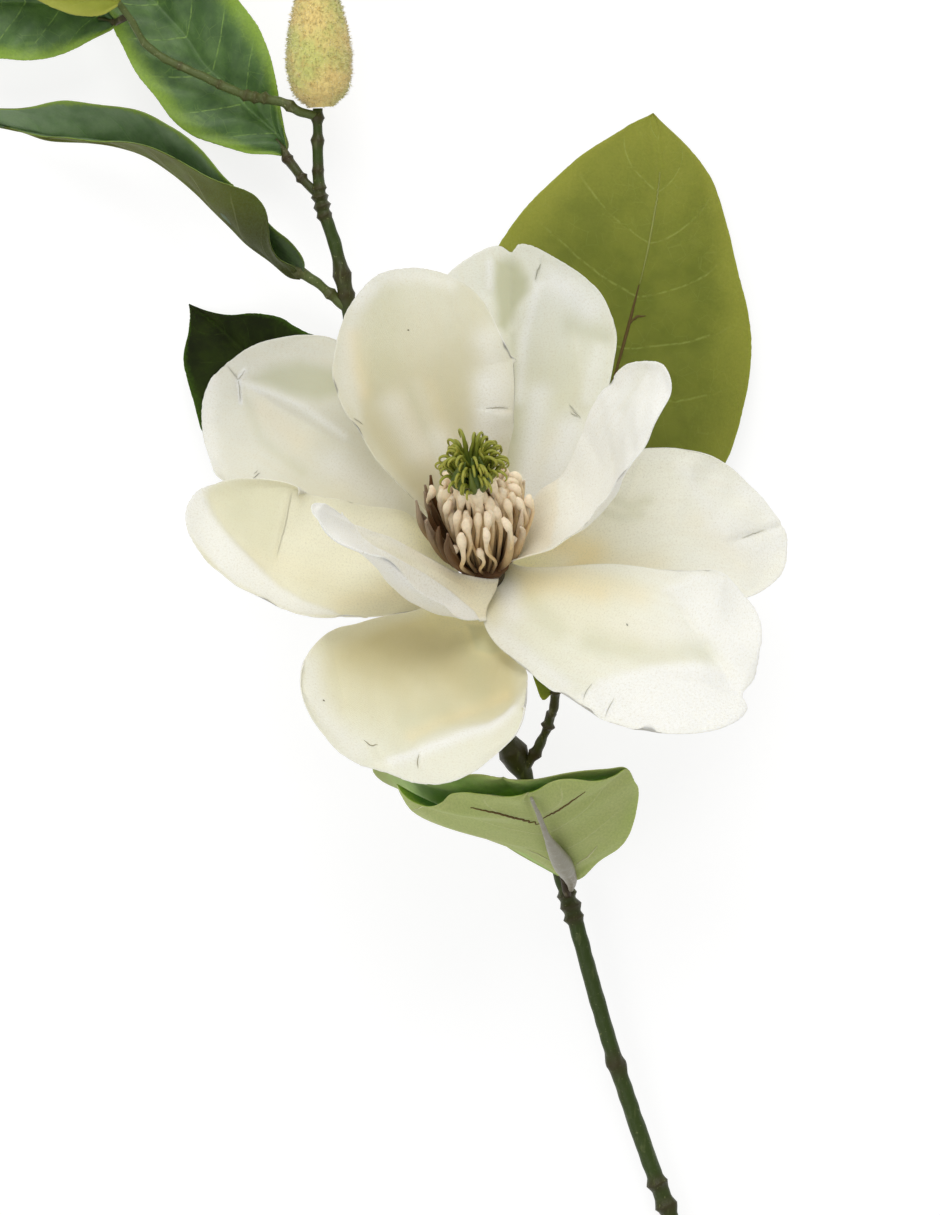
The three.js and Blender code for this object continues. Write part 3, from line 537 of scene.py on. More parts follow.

# points run along a petal from claw to tip. left and right are its half widths in mm, and cup and roll its
# bend and turn in degrees, all at even steps. tip is how much of its end is round, lean, start and skew
# slant its ends, and a notch is (place across, depth, width). colours are those of the claw, middle and
# tip; warm_to is how far the claw's goes. From petal to petal they are partly painted light and shade:
# darker on petals that face away from the light, lighter where other petals shade them. rim is the height
# in mm of the turned-up left, right and tip, and its width in mm. A crease is (u, v, u, v, depth in mm,
# width, step in mm). marks and touches are as in skin, and pulls as in pulled.
PETALS = {
    "petal_1_inner_top": dict(
        points=[
            (478, 554.5, 50.3), (459, 500, 57), (439, 440, 62), (426, 375, 64), (418, 315, 61),
            (408, 267, 56)],
        left=[5, 13, 23, 29, 28, 24], right=[5, 14, 24, 29, 27, 22], cup=[50, 40, 30, 26, 22, 10], tip=0.32,
        colours=((236, 227, 190), (194, 186, 154), (213, 211, 190)), warm_to=0.7, rim=(0.8, 0.3, 0.5, 7),
        creases=[
            (478, 408, 513, 411, -0.2, 3, 0.35), (372, 325, 366, 430, 0.5, 12),
            (450, 290, 470, 400, -0.6, 14)],
        marks=[
            (0.14, 0.28, 1, 486, 408.5, 497, 407.5, 508, 408), (0.22, 0.7, 1, 407, 330, 409, 331),
            (0.2, 0, 1, 354, 419, 358, 421, 362, 424)],
        pulls=[
            (362, 293, 356.5, 291.5), (379, 277, 371, 276), (492.5, 307, 487.5, 309), (504.5, 331, 499, 332),
            (345.5, 392, 340, 392), (505.7, 452, 510, 448), (418, 266, 418, 268), (461, 277, 458, 279),
            (512, 360, 513, 360)],
        touches=[
            ("light patch", 0.3, 0.3, 9, 336, 367, 337, 350, 341, 331, 348, 307, 355, 292, 367, 278, 376,
             288, 362, 312, 354, 336, 356, 370, 362, 389, 357, 421, 344, 405, 337, 385),
            ("warm", 0.36, 0, 9, 353, 335, 356, 365, 363, 392),
            ("cool", 0.28, -0.4, 22, 385, 300, 379, 345, 385, 385),
            ("light", 0.5, 0.5, 16, 488, 342, 500, 380, 502, 425), ("warm", 0.15, 0, 11, 395, 395, 428, 460),
            ("warm", 0.12, 0, 8, 430, 385, 448, 445), ("cool", 0.16, -0.2, 5, 410, 390, 440, 455),
            ("light", 0.1, 0, 8, 418, 385, 445, 455),
            ("light", 0.35, 0.3, 8, 358, 300, 385, 277, 420, 275, 450, 284),
            ("light", 0.7, 0, 15, 486, 385, 487, 430, 480, 470), ("light", 0.35, 0, 16, 394, 405, 418, 450),
            ("light", 0.35, 0, 15, 440, 440, 456, 485), ("warm", 0.35, -0.2, 2.5, 496, 411, 509, 411)]),
    "petal_2_outer_top": dict(
        points=[
            (488.3, 563.7, 48.4), (506, 490, 50), (522, 415, 49), (533, 345, 44), (527, 290, 37),
            (516, 244, 29)],
        left=[4, 13, 24, 29, 30, 28], right=[4, 17, 26, 29, 28, 22], cup=[40, 35, 28, 24, 18, 10], tip=0.28,
        notch=[(-0.06, 0.025, 0.09)], start=-0.03,
        colours=((253, 246, 216), (210, 207, 173), (228, 228, 210)), warm_to=0.5, rim=(0.5, 0.8, 1, 6),
        creases=[
            (512, 244, 511, 350, -2.6, 10), (541, 258, 535, 284, -0.9, 4, 0.5), (566, 270, 585, 400, 1, 12),
            (486, 262, 492, 300, -0.7, 4)],
        marks=[
            (0.22, 0.42, 1, 541, 264, 537, 271, 535.5, 280), (0.25, 0, 1, 570, 405, 575, 412, 581, 418),
            (0.2, 0, 1, 571, 413, 578, 417)],
        pulls=[
            (464, 276, 448, 272.5), (474, 266, 465, 261.5), (487, 257, 486, 251), (503, 250, 502, 245),
            (519, 243.5, 517.5, 245), (536, 241.7, 531, 245), (553, 244.6, 543, 253),
            (574.5, 255.5, 560, 265), (593, 269, 580, 277), (608, 284.6, 598, 294), (617.5, 303, 609, 312),
            (619.7, 321.5, 615.5, 331), (617.5, 346, 618.5, 349)],
        touches=[
            ("cool patch", 0.8, -0.8, 7, 496, 259, 510, 255, 520, 261, 529, 278, 529, 292, 517, 307, 506,
             331, 498, 326, 497, 307, 493, 283),
            ("light", 0.5, 0.8, 4, 489, 262, 490, 285), ("light", 0.5, 0.6, 6, 538, 290, 524, 340, 518, 400),
            ("light", 0.6, 0.5, 15, 556, 283, 590, 308), ("cool", 0.38, -0.5, 13, 574, 326, 604, 338),
            ("cool", 0.3, 0, 5, 512, 335, 516, 400, 514, 440), ("warm", 0.22, 0, 14, 530, 470, 552, 440),
            ("light", 0.35, 0.5, 9, 600, 350, 588, 400), ("light", 0.75, 0, 20, 570, 432, 548, 500),
            ("light", 0.65, 0, 14, 538, 395, 526, 490)]),
    "petal_3_inner_right": dict(
        points=[
            (509, 571, 58), (557, 541, 72), (602, 494, 88), (632, 444, 103), (654, 404, 114),
            (668, 376, 121)],
        left=[4, 14, 23, 28, 27, 22], right=[4, 11, 16, 18, 17, 13], cup=[50, 40, 32, 26, 20, 10], tip=0.26,
        colours=((250, 241, 210), (250, 248, 230), (250, 249, 238)), warm_to=0.35, rim=(0.3, 1, 0.8, 5),
        creases=[(662, 372, 600, 510, 0.8, 10), (650, 366, 640, 400, -0.4, 5)],
        pulls=[
            (636, 358.5, 640, 362.5), (654.5, 360, 659, 361), (667, 372, 671, 373.5), (667.4, 386, 675, 388),
            (662, 411, 659.5, 411), (620, 366, 623, 368), (593, 407.7, 590, 407), (545, 515, 526, 508),
            (520, 552, 506, 545)],
        touches=[
            ("warm patch", 0.3, 0, 4, 566, 440, 559, 470, 558, 517, 552, 545, 515, 578, 503, 560, 540, 490),
            ("light", 0.5, 0.4, 9, 671, 382, 652, 436, 620, 483), ("cool", 0.2, -0.3, 6, 641, 370, 624, 408),
            ("light", 0.35, 0, 14, 600, 440, 580, 520)]),
    "petal_4_outer_right": dict(
        points=[
            (508, 578, 53), (560, 552, 57), (620, 534, 60), (680, 526, 60), (740, 532, 56), (786, 546, 50)],
        left=[4, 14, 25, 27, 25, 21], right=[4, 13, 24, 28, 28, 24], roll=-20, cup=[30, 24, 20, 18, 16, 10],
        tip=0.34, colours=((253, 240, 178), (246, 242, 214), (247, 245, 226)), warm_to=0.5,
        rim=(0.5, 1.4, 1, 8),
        creases=[
            (788, 523, 725, 541, -0.9, 4, 0.4), (700, 450, 668, 540, 0.8, 12),
            (600, 500, 700, 545, -0.8, 10), (640, 460, 624, 505, -0.8, 7)],
        marks=[(0.14, 0.2, 1, 764, 530, 752, 534, 742, 538)],
        pulls=[
            (670, 446.8, 668, 448), (697.5, 447.5, 694, 452.5), (731.7, 460.5, 724, 464.5),
            (759, 481, 747, 484), (776, 501.4, 768, 502), (786, 542, 786, 542), (769, 576.5, 775, 580),
            (752, 590, 760, 592), (731.7, 597.7, 742, 600)],
        touches=[
            ("cool", 0.28, -0.6, 6, 614, 500, 630, 506, 648, 501),
            ("cool", 0.26, -0.4, 6, 604, 512, 622, 517, 640, 514),
            ("warm", 0.8, 0, 20, 552, 540, 590, 553, 580, 570),
            ("light", 0.45, 0.4, 8, 742, 487, 768, 512, 779, 545),
            ("light", 0.3, 0.5, 8, 682, 470, 706, 505), ("warm", 0.16, -0.3, 16, 700, 525, 745, 560),
            ("light", 0.45, 0, 14, 718, 522, 762, 550), ("warm", 0.25, 0, 16, 592, 562, 655, 566)]),
    "petal_5_outer_lower_right": dict(
        points=[
            (503.1, 585.8, 59), (550, 612, 80), (605, 638, 92), (655, 654, 100), (708, 662, 103),
            (763, 664, 100)],
        left=[8, 15, 24, 28, 30, 30], right=[8, 16, 24, 28, 29, 27], roll=-18, cup=[30, 24, 16, 10, 6, -4],
        tip=0.26, lean=-0.02, notch=[(0.4, 0.03, 0.12)], start=-0.07,
        colours=((240, 231, 192), (232, 230, 204), (245, 244, 229)), warm_to=0.5, rim=(0.5, 3.6, 1, 15),
        creases=[
            (668, 592, 746, 704, -1.6, 10), (630, 668, 748, 694, -1.4, 9),
            (583, 703, 593, 683, -0.3, 2, 0.3), (606, 717, 615, 697, -0.3, 2, 0.3),
            (540, 615, 660, 655, -1, 14), (700, 600, 770, 640, 0.6, 9)],
        marks=[
            (0.16, 0.4, 1, 592, 684, 587, 691, 583, 700), (0.14, 0.1, 1, 614, 699, 609, 708, 605, 717),
            (0.22, 0.65, 1, 627, 624, 628, 626)],
        pulls=[
            (725, 590, 735, 585), (745, 610.6, 756, 606), (759, 631, 763, 628), (763.4, 651.6, 760, 648),
            (760.7, 672, 752, 671), (748.7, 689, 742, 689), (742, 716.5, 743, 717), (718, 728.4, 715, 729.5),
            (680.5, 734, 679, 735), (615.6, 721.6, 614, 724.5), (581.5, 702.8, 582, 703),
            (554, 682, 553, 687), (527, 658, 523, 660), (509.8, 638, 500, 641), (499.6, 621, 489, 625)],
        touches=[
            ("light patch", 0.7, 1, 7, 583, 702, 600, 681, 630, 672, 651, 666, 699, 664, 719, 666, 743, 686,
             748, 710, 741, 722, 712, 733, 678, 738, 651, 736, 620, 728, 595, 714),
            ("light patch", 0.55, 0.9, 6, 664, 590, 700, 575, 735, 580, 757, 600, 766, 625, 762, 655, 752,
             675, 742, 690, 728, 662, 702, 632, 682, 606),
            ("cool", 0.38, -0.8, 14, 590, 640, 650, 656, 705, 650),
            ("cool", 0.26, -0.4, 13, 528, 598, 556, 628), ("warm", 0.3, 0, 14, 575, 572, 640, 596),
            ("warm", 0.12, 0, 30, 560, 600, 660, 650), ("warm", 0.45, 0, 12, 530, 586, 560, 584, 600, 594),
            ("light", 0.6, 0, 12, 508, 588, 512, 614),
            ("light", 0.45, 0.5, 9, 502, 634, 530, 660, 566, 690)]),
    "petal_6_outer_bottom": dict(
        points=[
            (488.1, 602.2, 56), (462, 642, 71), (434, 680, 90), (418, 720, 108), (411, 757, 120),
            (408, 786, 124)],
        left=[9, 20, 29, 33, 34, 31], right=[9, 18, 30, 37, 38, 34], roll=8, cup=[30, 30, 22, 18, 12, 4],
        tip=0.34, colours=((253, 238, 180), (196, 185, 144), (224, 223, 198)), warm_to=0.66,
        rim=(3.4, 1.6, 4.2, 9),
        creases=[
            (417, 748, 421, 778, -0.4, 3, 0.3), (372, 742, 388, 770, -0.5, 4, 0.2),
            (330, 640, 345, 720, -0.6, 10), (500, 640, 490, 720, -0.8, 14)],
        marks=[
            (0.15, 0.25, 1, 419, 755, 417, 761, 418, 769), (0.25, 0.7, 1, 323, 700, 324, 702),
            (0.2, 0, 1, 364, 741, 371, 746, 378, 745)],
        pulls=[
            (502, 741, 507, 750), (476.5, 766, 481, 774), (447.6, 780, 449, 787), (411.5, 781.4, 413, 785),
            (386, 777, 388, 769), (361, 766, 361, 763), (339, 748, 336, 750), (321, 723, 315, 725),
            (310, 701, 304.5, 702), (306.7, 683, 301, 682), (314, 665, 304, 661), (325, 651, 315, 645),
            (514, 729, 519, 731), (522, 706, 525, 707)],
        touches=[
            ("light patch", 0.2, 1.2, 7, 374, 764, 391, 776, 409, 786, 427, 791, 449, 791, 473, 783, 496,
             768, 512, 753, 522, 733, 529, 700, 518, 700, 503, 715, 485, 723, 456, 728, 434, 735, 413, 746,
             391, 758),
            ("light", 0.6, 0.8, 6, 392, 762, 416, 754, 440, 746, 462, 738, 490, 731, 514, 716),
            ("warm", 0.3, -0.6, 7, 504, 692, 474, 707, 442, 718, 412, 732),
            ("light", 0.4, 0.8, 16, 306, 668, 310, 700, 327, 730, 354, 752),
            ("cool", 0.25, 0, 13, 481, 700, 472, 650), ("cool", 0.25, 0, 12, 405, 722, 445, 712),
            # This cool patch paints the shadow that petal 7's corner casts here.
            ("cool patch", 0.5, 0, 3, 468, 626, 500, 626, 506, 648, 490, 654, 476, 650)]),
    "petal_7_inner_lower_left": dict(
        points=[
            (491.5, 599.4, 69.9), (452, 602, 77), (410, 587, 91), (370, 557, 107), (340, 529, 120),
            (320, 508, 128)],
        left=[7, 12, 18, 19, 16, 11], right=[7, 12, 14, 14, 12, 9], roll=[25, 15, 0, 0, 0, 0],
        cup=[10, 30, 48, 46, 36, 20], tip=0.26, skew=-0.035,
        colours=((252, 240, 202), (250, 244, 218), (250, 248, 236)), warm_to=0.55, rim=(0.3, 0.3, 0.6, 4),
        creases=[(318, 512, 470, 592, 1.2, 9), (360, 540, 430, 570, -0.3, 6)],
        pulls=[
            (327.8, 515, 318, 516), (339, 533, 324, 534), (352, 546, 337, 548), (356.5, 511, 337, 514.5),
            (372, 524, 352, 529), (392, 546, 386, 537), (409.5, 555, 408, 543), (431.6, 565, 429, 557),
            (451.5, 572.7, 450, 571), (462.5, 624.6, 459, 619.5), (475.8, 624.6, 474, 621),
            (490, 619, 483, 623), (493.4, 580, 498.5, 580), (360, 552.5, 355, 554), (371, 562, 364, 564),
            (385, 574, 375, 576), (400, 585.5, 387, 590), (416, 595.5, 402, 604), (430, 603.5, 420, 613),
            (443, 611.5, 437, 619)],
        touches=[
            ("light patch", 0.85, 0.9, 1.8, 321, 498, 313, 511, 315, 526, 322, 539, 332, 550, 344, 556, 361,
             560, 371, 569, 385, 584, 395, 595, 413, 611, 432, 619, 454, 624, 482, 628, 474, 613, 450, 592.5,
             423.5, 575, 388, 555, 359.5, 537.5, 344, 522, 333, 511, 326, 500),
            ("warm", 0.3, 0, 8, 412, 548, 438, 570, 470, 590)]),
    "petal_8_outer_left": dict(
        points=[
            (460, 576, 56), (410, 574, 68), (350, 568, 78), (292, 555, 84), (236, 532, 86), (188, 512, 84)],
        left=[9, 17, 24, 26, 25, 20], right=[7, 18, 21, 21, 23, 23], roll=14, cup=[40, 32, 24, 20, 16, 8],
        tip=0.32, colours=((254, 243, 186), (245, 239, 205), (217, 213, 184)), warm_to=0.62,
        rim=(3.2, 0.4, 2.6, 8),
        creases=[
            (292, 486, 275, 560, -0.2, 3, 0.35), (205, 505, 262, 520, -0.8, 12),
            (300, 575, 400, 600, -0.6, 10)],
        # This mark's tone paints the fine shadow line along the fold.
        marks=[(0.12, 0.12, 1, 291, 494, 286, 522, 277, 555)],
        pulls=[
            (187.5, 535, 190, 534), (198, 560, 205, 554), (216.4, 582, 224, 575), (245, 602, 250, 594),
            (262, 608, 265, 602), (281, 612.7, 281, 609.5), (299, 614.5, 300, 616), (317.5, 615, 318, 619),
            (361, 615, 361, 617.5), (205.5, 484.5, 197, 487.5), (185.6, 509.7, 184, 509.7),
            (231, 476, 229, 477), (256, 474.7, 254, 479.5), (281, 481, 281, 484), (301, 491, 301, 491),
            (321, 502.5, 321, 497), (357, 506, 357, 501), (390, 515, 390, 506.5), (411, 528, 409, 512)],
        touches=[
            ("light patch", 0.6, 1, 5, 180, 524, 190, 543, 208, 560, 230, 586, 253, 600, 279, 613, 305, 622,
             340, 622, 333, 612, 304, 602, 279, 588, 254, 566, 228, 538, 212, 515, 205, 498, 214, 478, 195,
             485, 184, 503),
            ("cool patch", 0.24, -0.5, 12, 214, 490, 250, 483, 288, 490, 283, 522, 272, 557, 250, 548, 226,
             520),
            ("warm", 0.35, 0, 14, 345, 602, 392, 590), ("warm", 0.14, 0, 20, 258, 560, 330, 582)]),
    "petal_9_outer_upper_left": dict(
        points=[
            (464, 564, 49), (420, 518, 50), (366, 472, 49), (312, 432, 46), (258, 406, 40), (208, 398, 33)],
        left=[5, 18, 26, 29, 31, 30], right=[4, 14, 24, 30, 30, 26], roll=22, cup=[30, 26, 22, 20, 16, 8],
        tip=0.3, colours=((253, 245, 204), (204, 199, 174), (217, 215, 198)), warm_to=0.45,
        rim=(0.6, 1.5, 1.8, 9),
        creases=[
            (240, 380, 345, 448, -2.2, 11, 0.2), (239, 372, 244, 404, 1, 2.5),
            (228, 365, 240, 375, 0.6, 2.5), (247, 367, 240, 376, 0.5, 2.5), (262, 415, 300, 470, -0.8, 9),
            (206, 425, 225, 420, -0.5, 3), (205, 410, 222, 408, -0.5, 3)],
        marks=[
            (0.22, 0, 1, 239, 381, 240, 390, 241, 402), (0.2, 0, 1, 228, 367, 239, 380, 245, 371),
            (0.15, 0.5, 1, 253, 479, 260, 473), (0.12, 0.4, 1, 254, 474, 258, 471)],
        pulls=[
            (336, 338, 336, 340), (305, 330.4, 306, 337), (277, 329.3, 277, 339), (254.7, 335.5, 254, 344),
            (235, 349.6, 236, 354), (218, 366.4, 215, 370), (208.4, 386, 207, 386), (223.8, 481.6, 216, 480),
            (212.6, 462, 211, 462)],
        touches=[
            ("cool patch", 0.65, -0.6, 9, 252, 378, 270, 366, 300, 361, 335, 370, 345, 392, 318, 400, 288,
             394),
            ("light", 0.4, 0.3, 4, 241, 382, 272, 392, 304, 407, 345, 436),
            ("warm", 0.2, -0.5, 13, 262, 408, 298, 440),
            ("cool", 0.22, -0.4, 6, 246, 402, 262, 440, 303, 473),
            ("light", 0.8, 0.5, 1.8, 245, 371, 239, 380, 241, 403),
            ("warm", 0.16, 0, 18, 350, 480, 395, 492), ("light", 0.4, 0, 18, 335, 465, 388, 498),
            ("light", 0.4, 0.4, 9, 212, 385, 208, 425, 216, 470)]),
}


def reach(b, v):
    """How far a petal goes at v, from -1 to 1 across it, as a share of its length."""
    r = 1 - b["tip"] * (1 - np.sqrt(np.maximum(1 - v * v, 0))) + b.get("lean", 0) * v
    for where, depth, wide in b.get("notch", ()):
        r = r - depth * np.exp(-(((v - where) / wide) ** 2))
    return np.minimum(r, 1)


def petal_points(b, u, v):
    s = u * reach(b, v) + (b.get("start", 0) + b.get("skew", 0) * v) * (1 - u)
    along = b["line"].tangent(s)
    normal = unit(AXIS - along * (along @ AXIS)[..., None])
    across = np.cross(along, normal)
    roll = np.radians(smooth(b.get("roll", 0), s))[..., None]
    a = across * np.cos(roll) + normal * np.sin(roll)
    n = normal * np.cos(roll) - across * np.sin(roll)
    width = np.maximum(np.where(v > 0, smooth(b["right"], s), smooth(b["left"], s)), 0.6)
    cup = np.radians(smooth(b["cup"], s)) + 1e-4
    out, up = width / cup * np.sin(cup * np.abs(v)), width / cup * (1 - np.cos(cup * np.abs(v)))
    p = b["line"].at(s) + a * np.where(v > 0, out, -out)[..., None] + n * up[..., None]
    return pulled(p, b["pulls"]), s, width * v


def petal_detail(b, s, v, w, g, u):
    """Soft puckers of pressed cloth, a wavy edge, the turned-up rim and the creases."""
    cloth = np.stack([w, s * b["line"].length], -1)
    open_part = ease(s, 0.15, 0.6)
    d = 0.75 * waves(cloth, 44, b["seed"]) * open_part
    d = d + 0.2 * waves(cloth, 15, b["seed"] + 40) * open_part
    edge = np.maximum(np.abs(v) ** 6, ease(u, 0.8, 1.0) * 0.6)
    d = d + 0.6 * edge * open_part * waves(cloth, 24, b["seed"] + 80)
    left, right, tip, wide = b["rim"]
    width = np.where(v > 0, smooth(b["right"], s), smooth(b["left"], s))
    to_side, to_tip = (1 - np.abs(v)) * width, (reach(b, v) - s) * b["line"].length
    side = np.where(v > 0, right, left) * np.clip(1 - to_side / wide, 0, 1) ** 2 * ease(s, 0.2, 0.5)
    d = d + np.maximum(side, tip * np.clip(1 - to_tip / wide, 0, 1) ** 2)
    for one in b["creases"]:
        d = d + crease(g, *one)
    return d


for i, (name, b) in enumerate(PETALS.items()):
    b.update(line=grid_line(b["points"]), seed=20 + i)
    petal = skin(name + "_cloth", b, lambda u, v: petal_points(b, u, v), petal_detail,
                 petal_look(name + "_cloth", b), *PETAL_GRID, CLOTH, PETAL_FRAY)
    settle(petal, name)

# ------------------------------------------------------------------ leaves
LEAF_GRID, LEAF_FRAY = (130, 72), 0.1
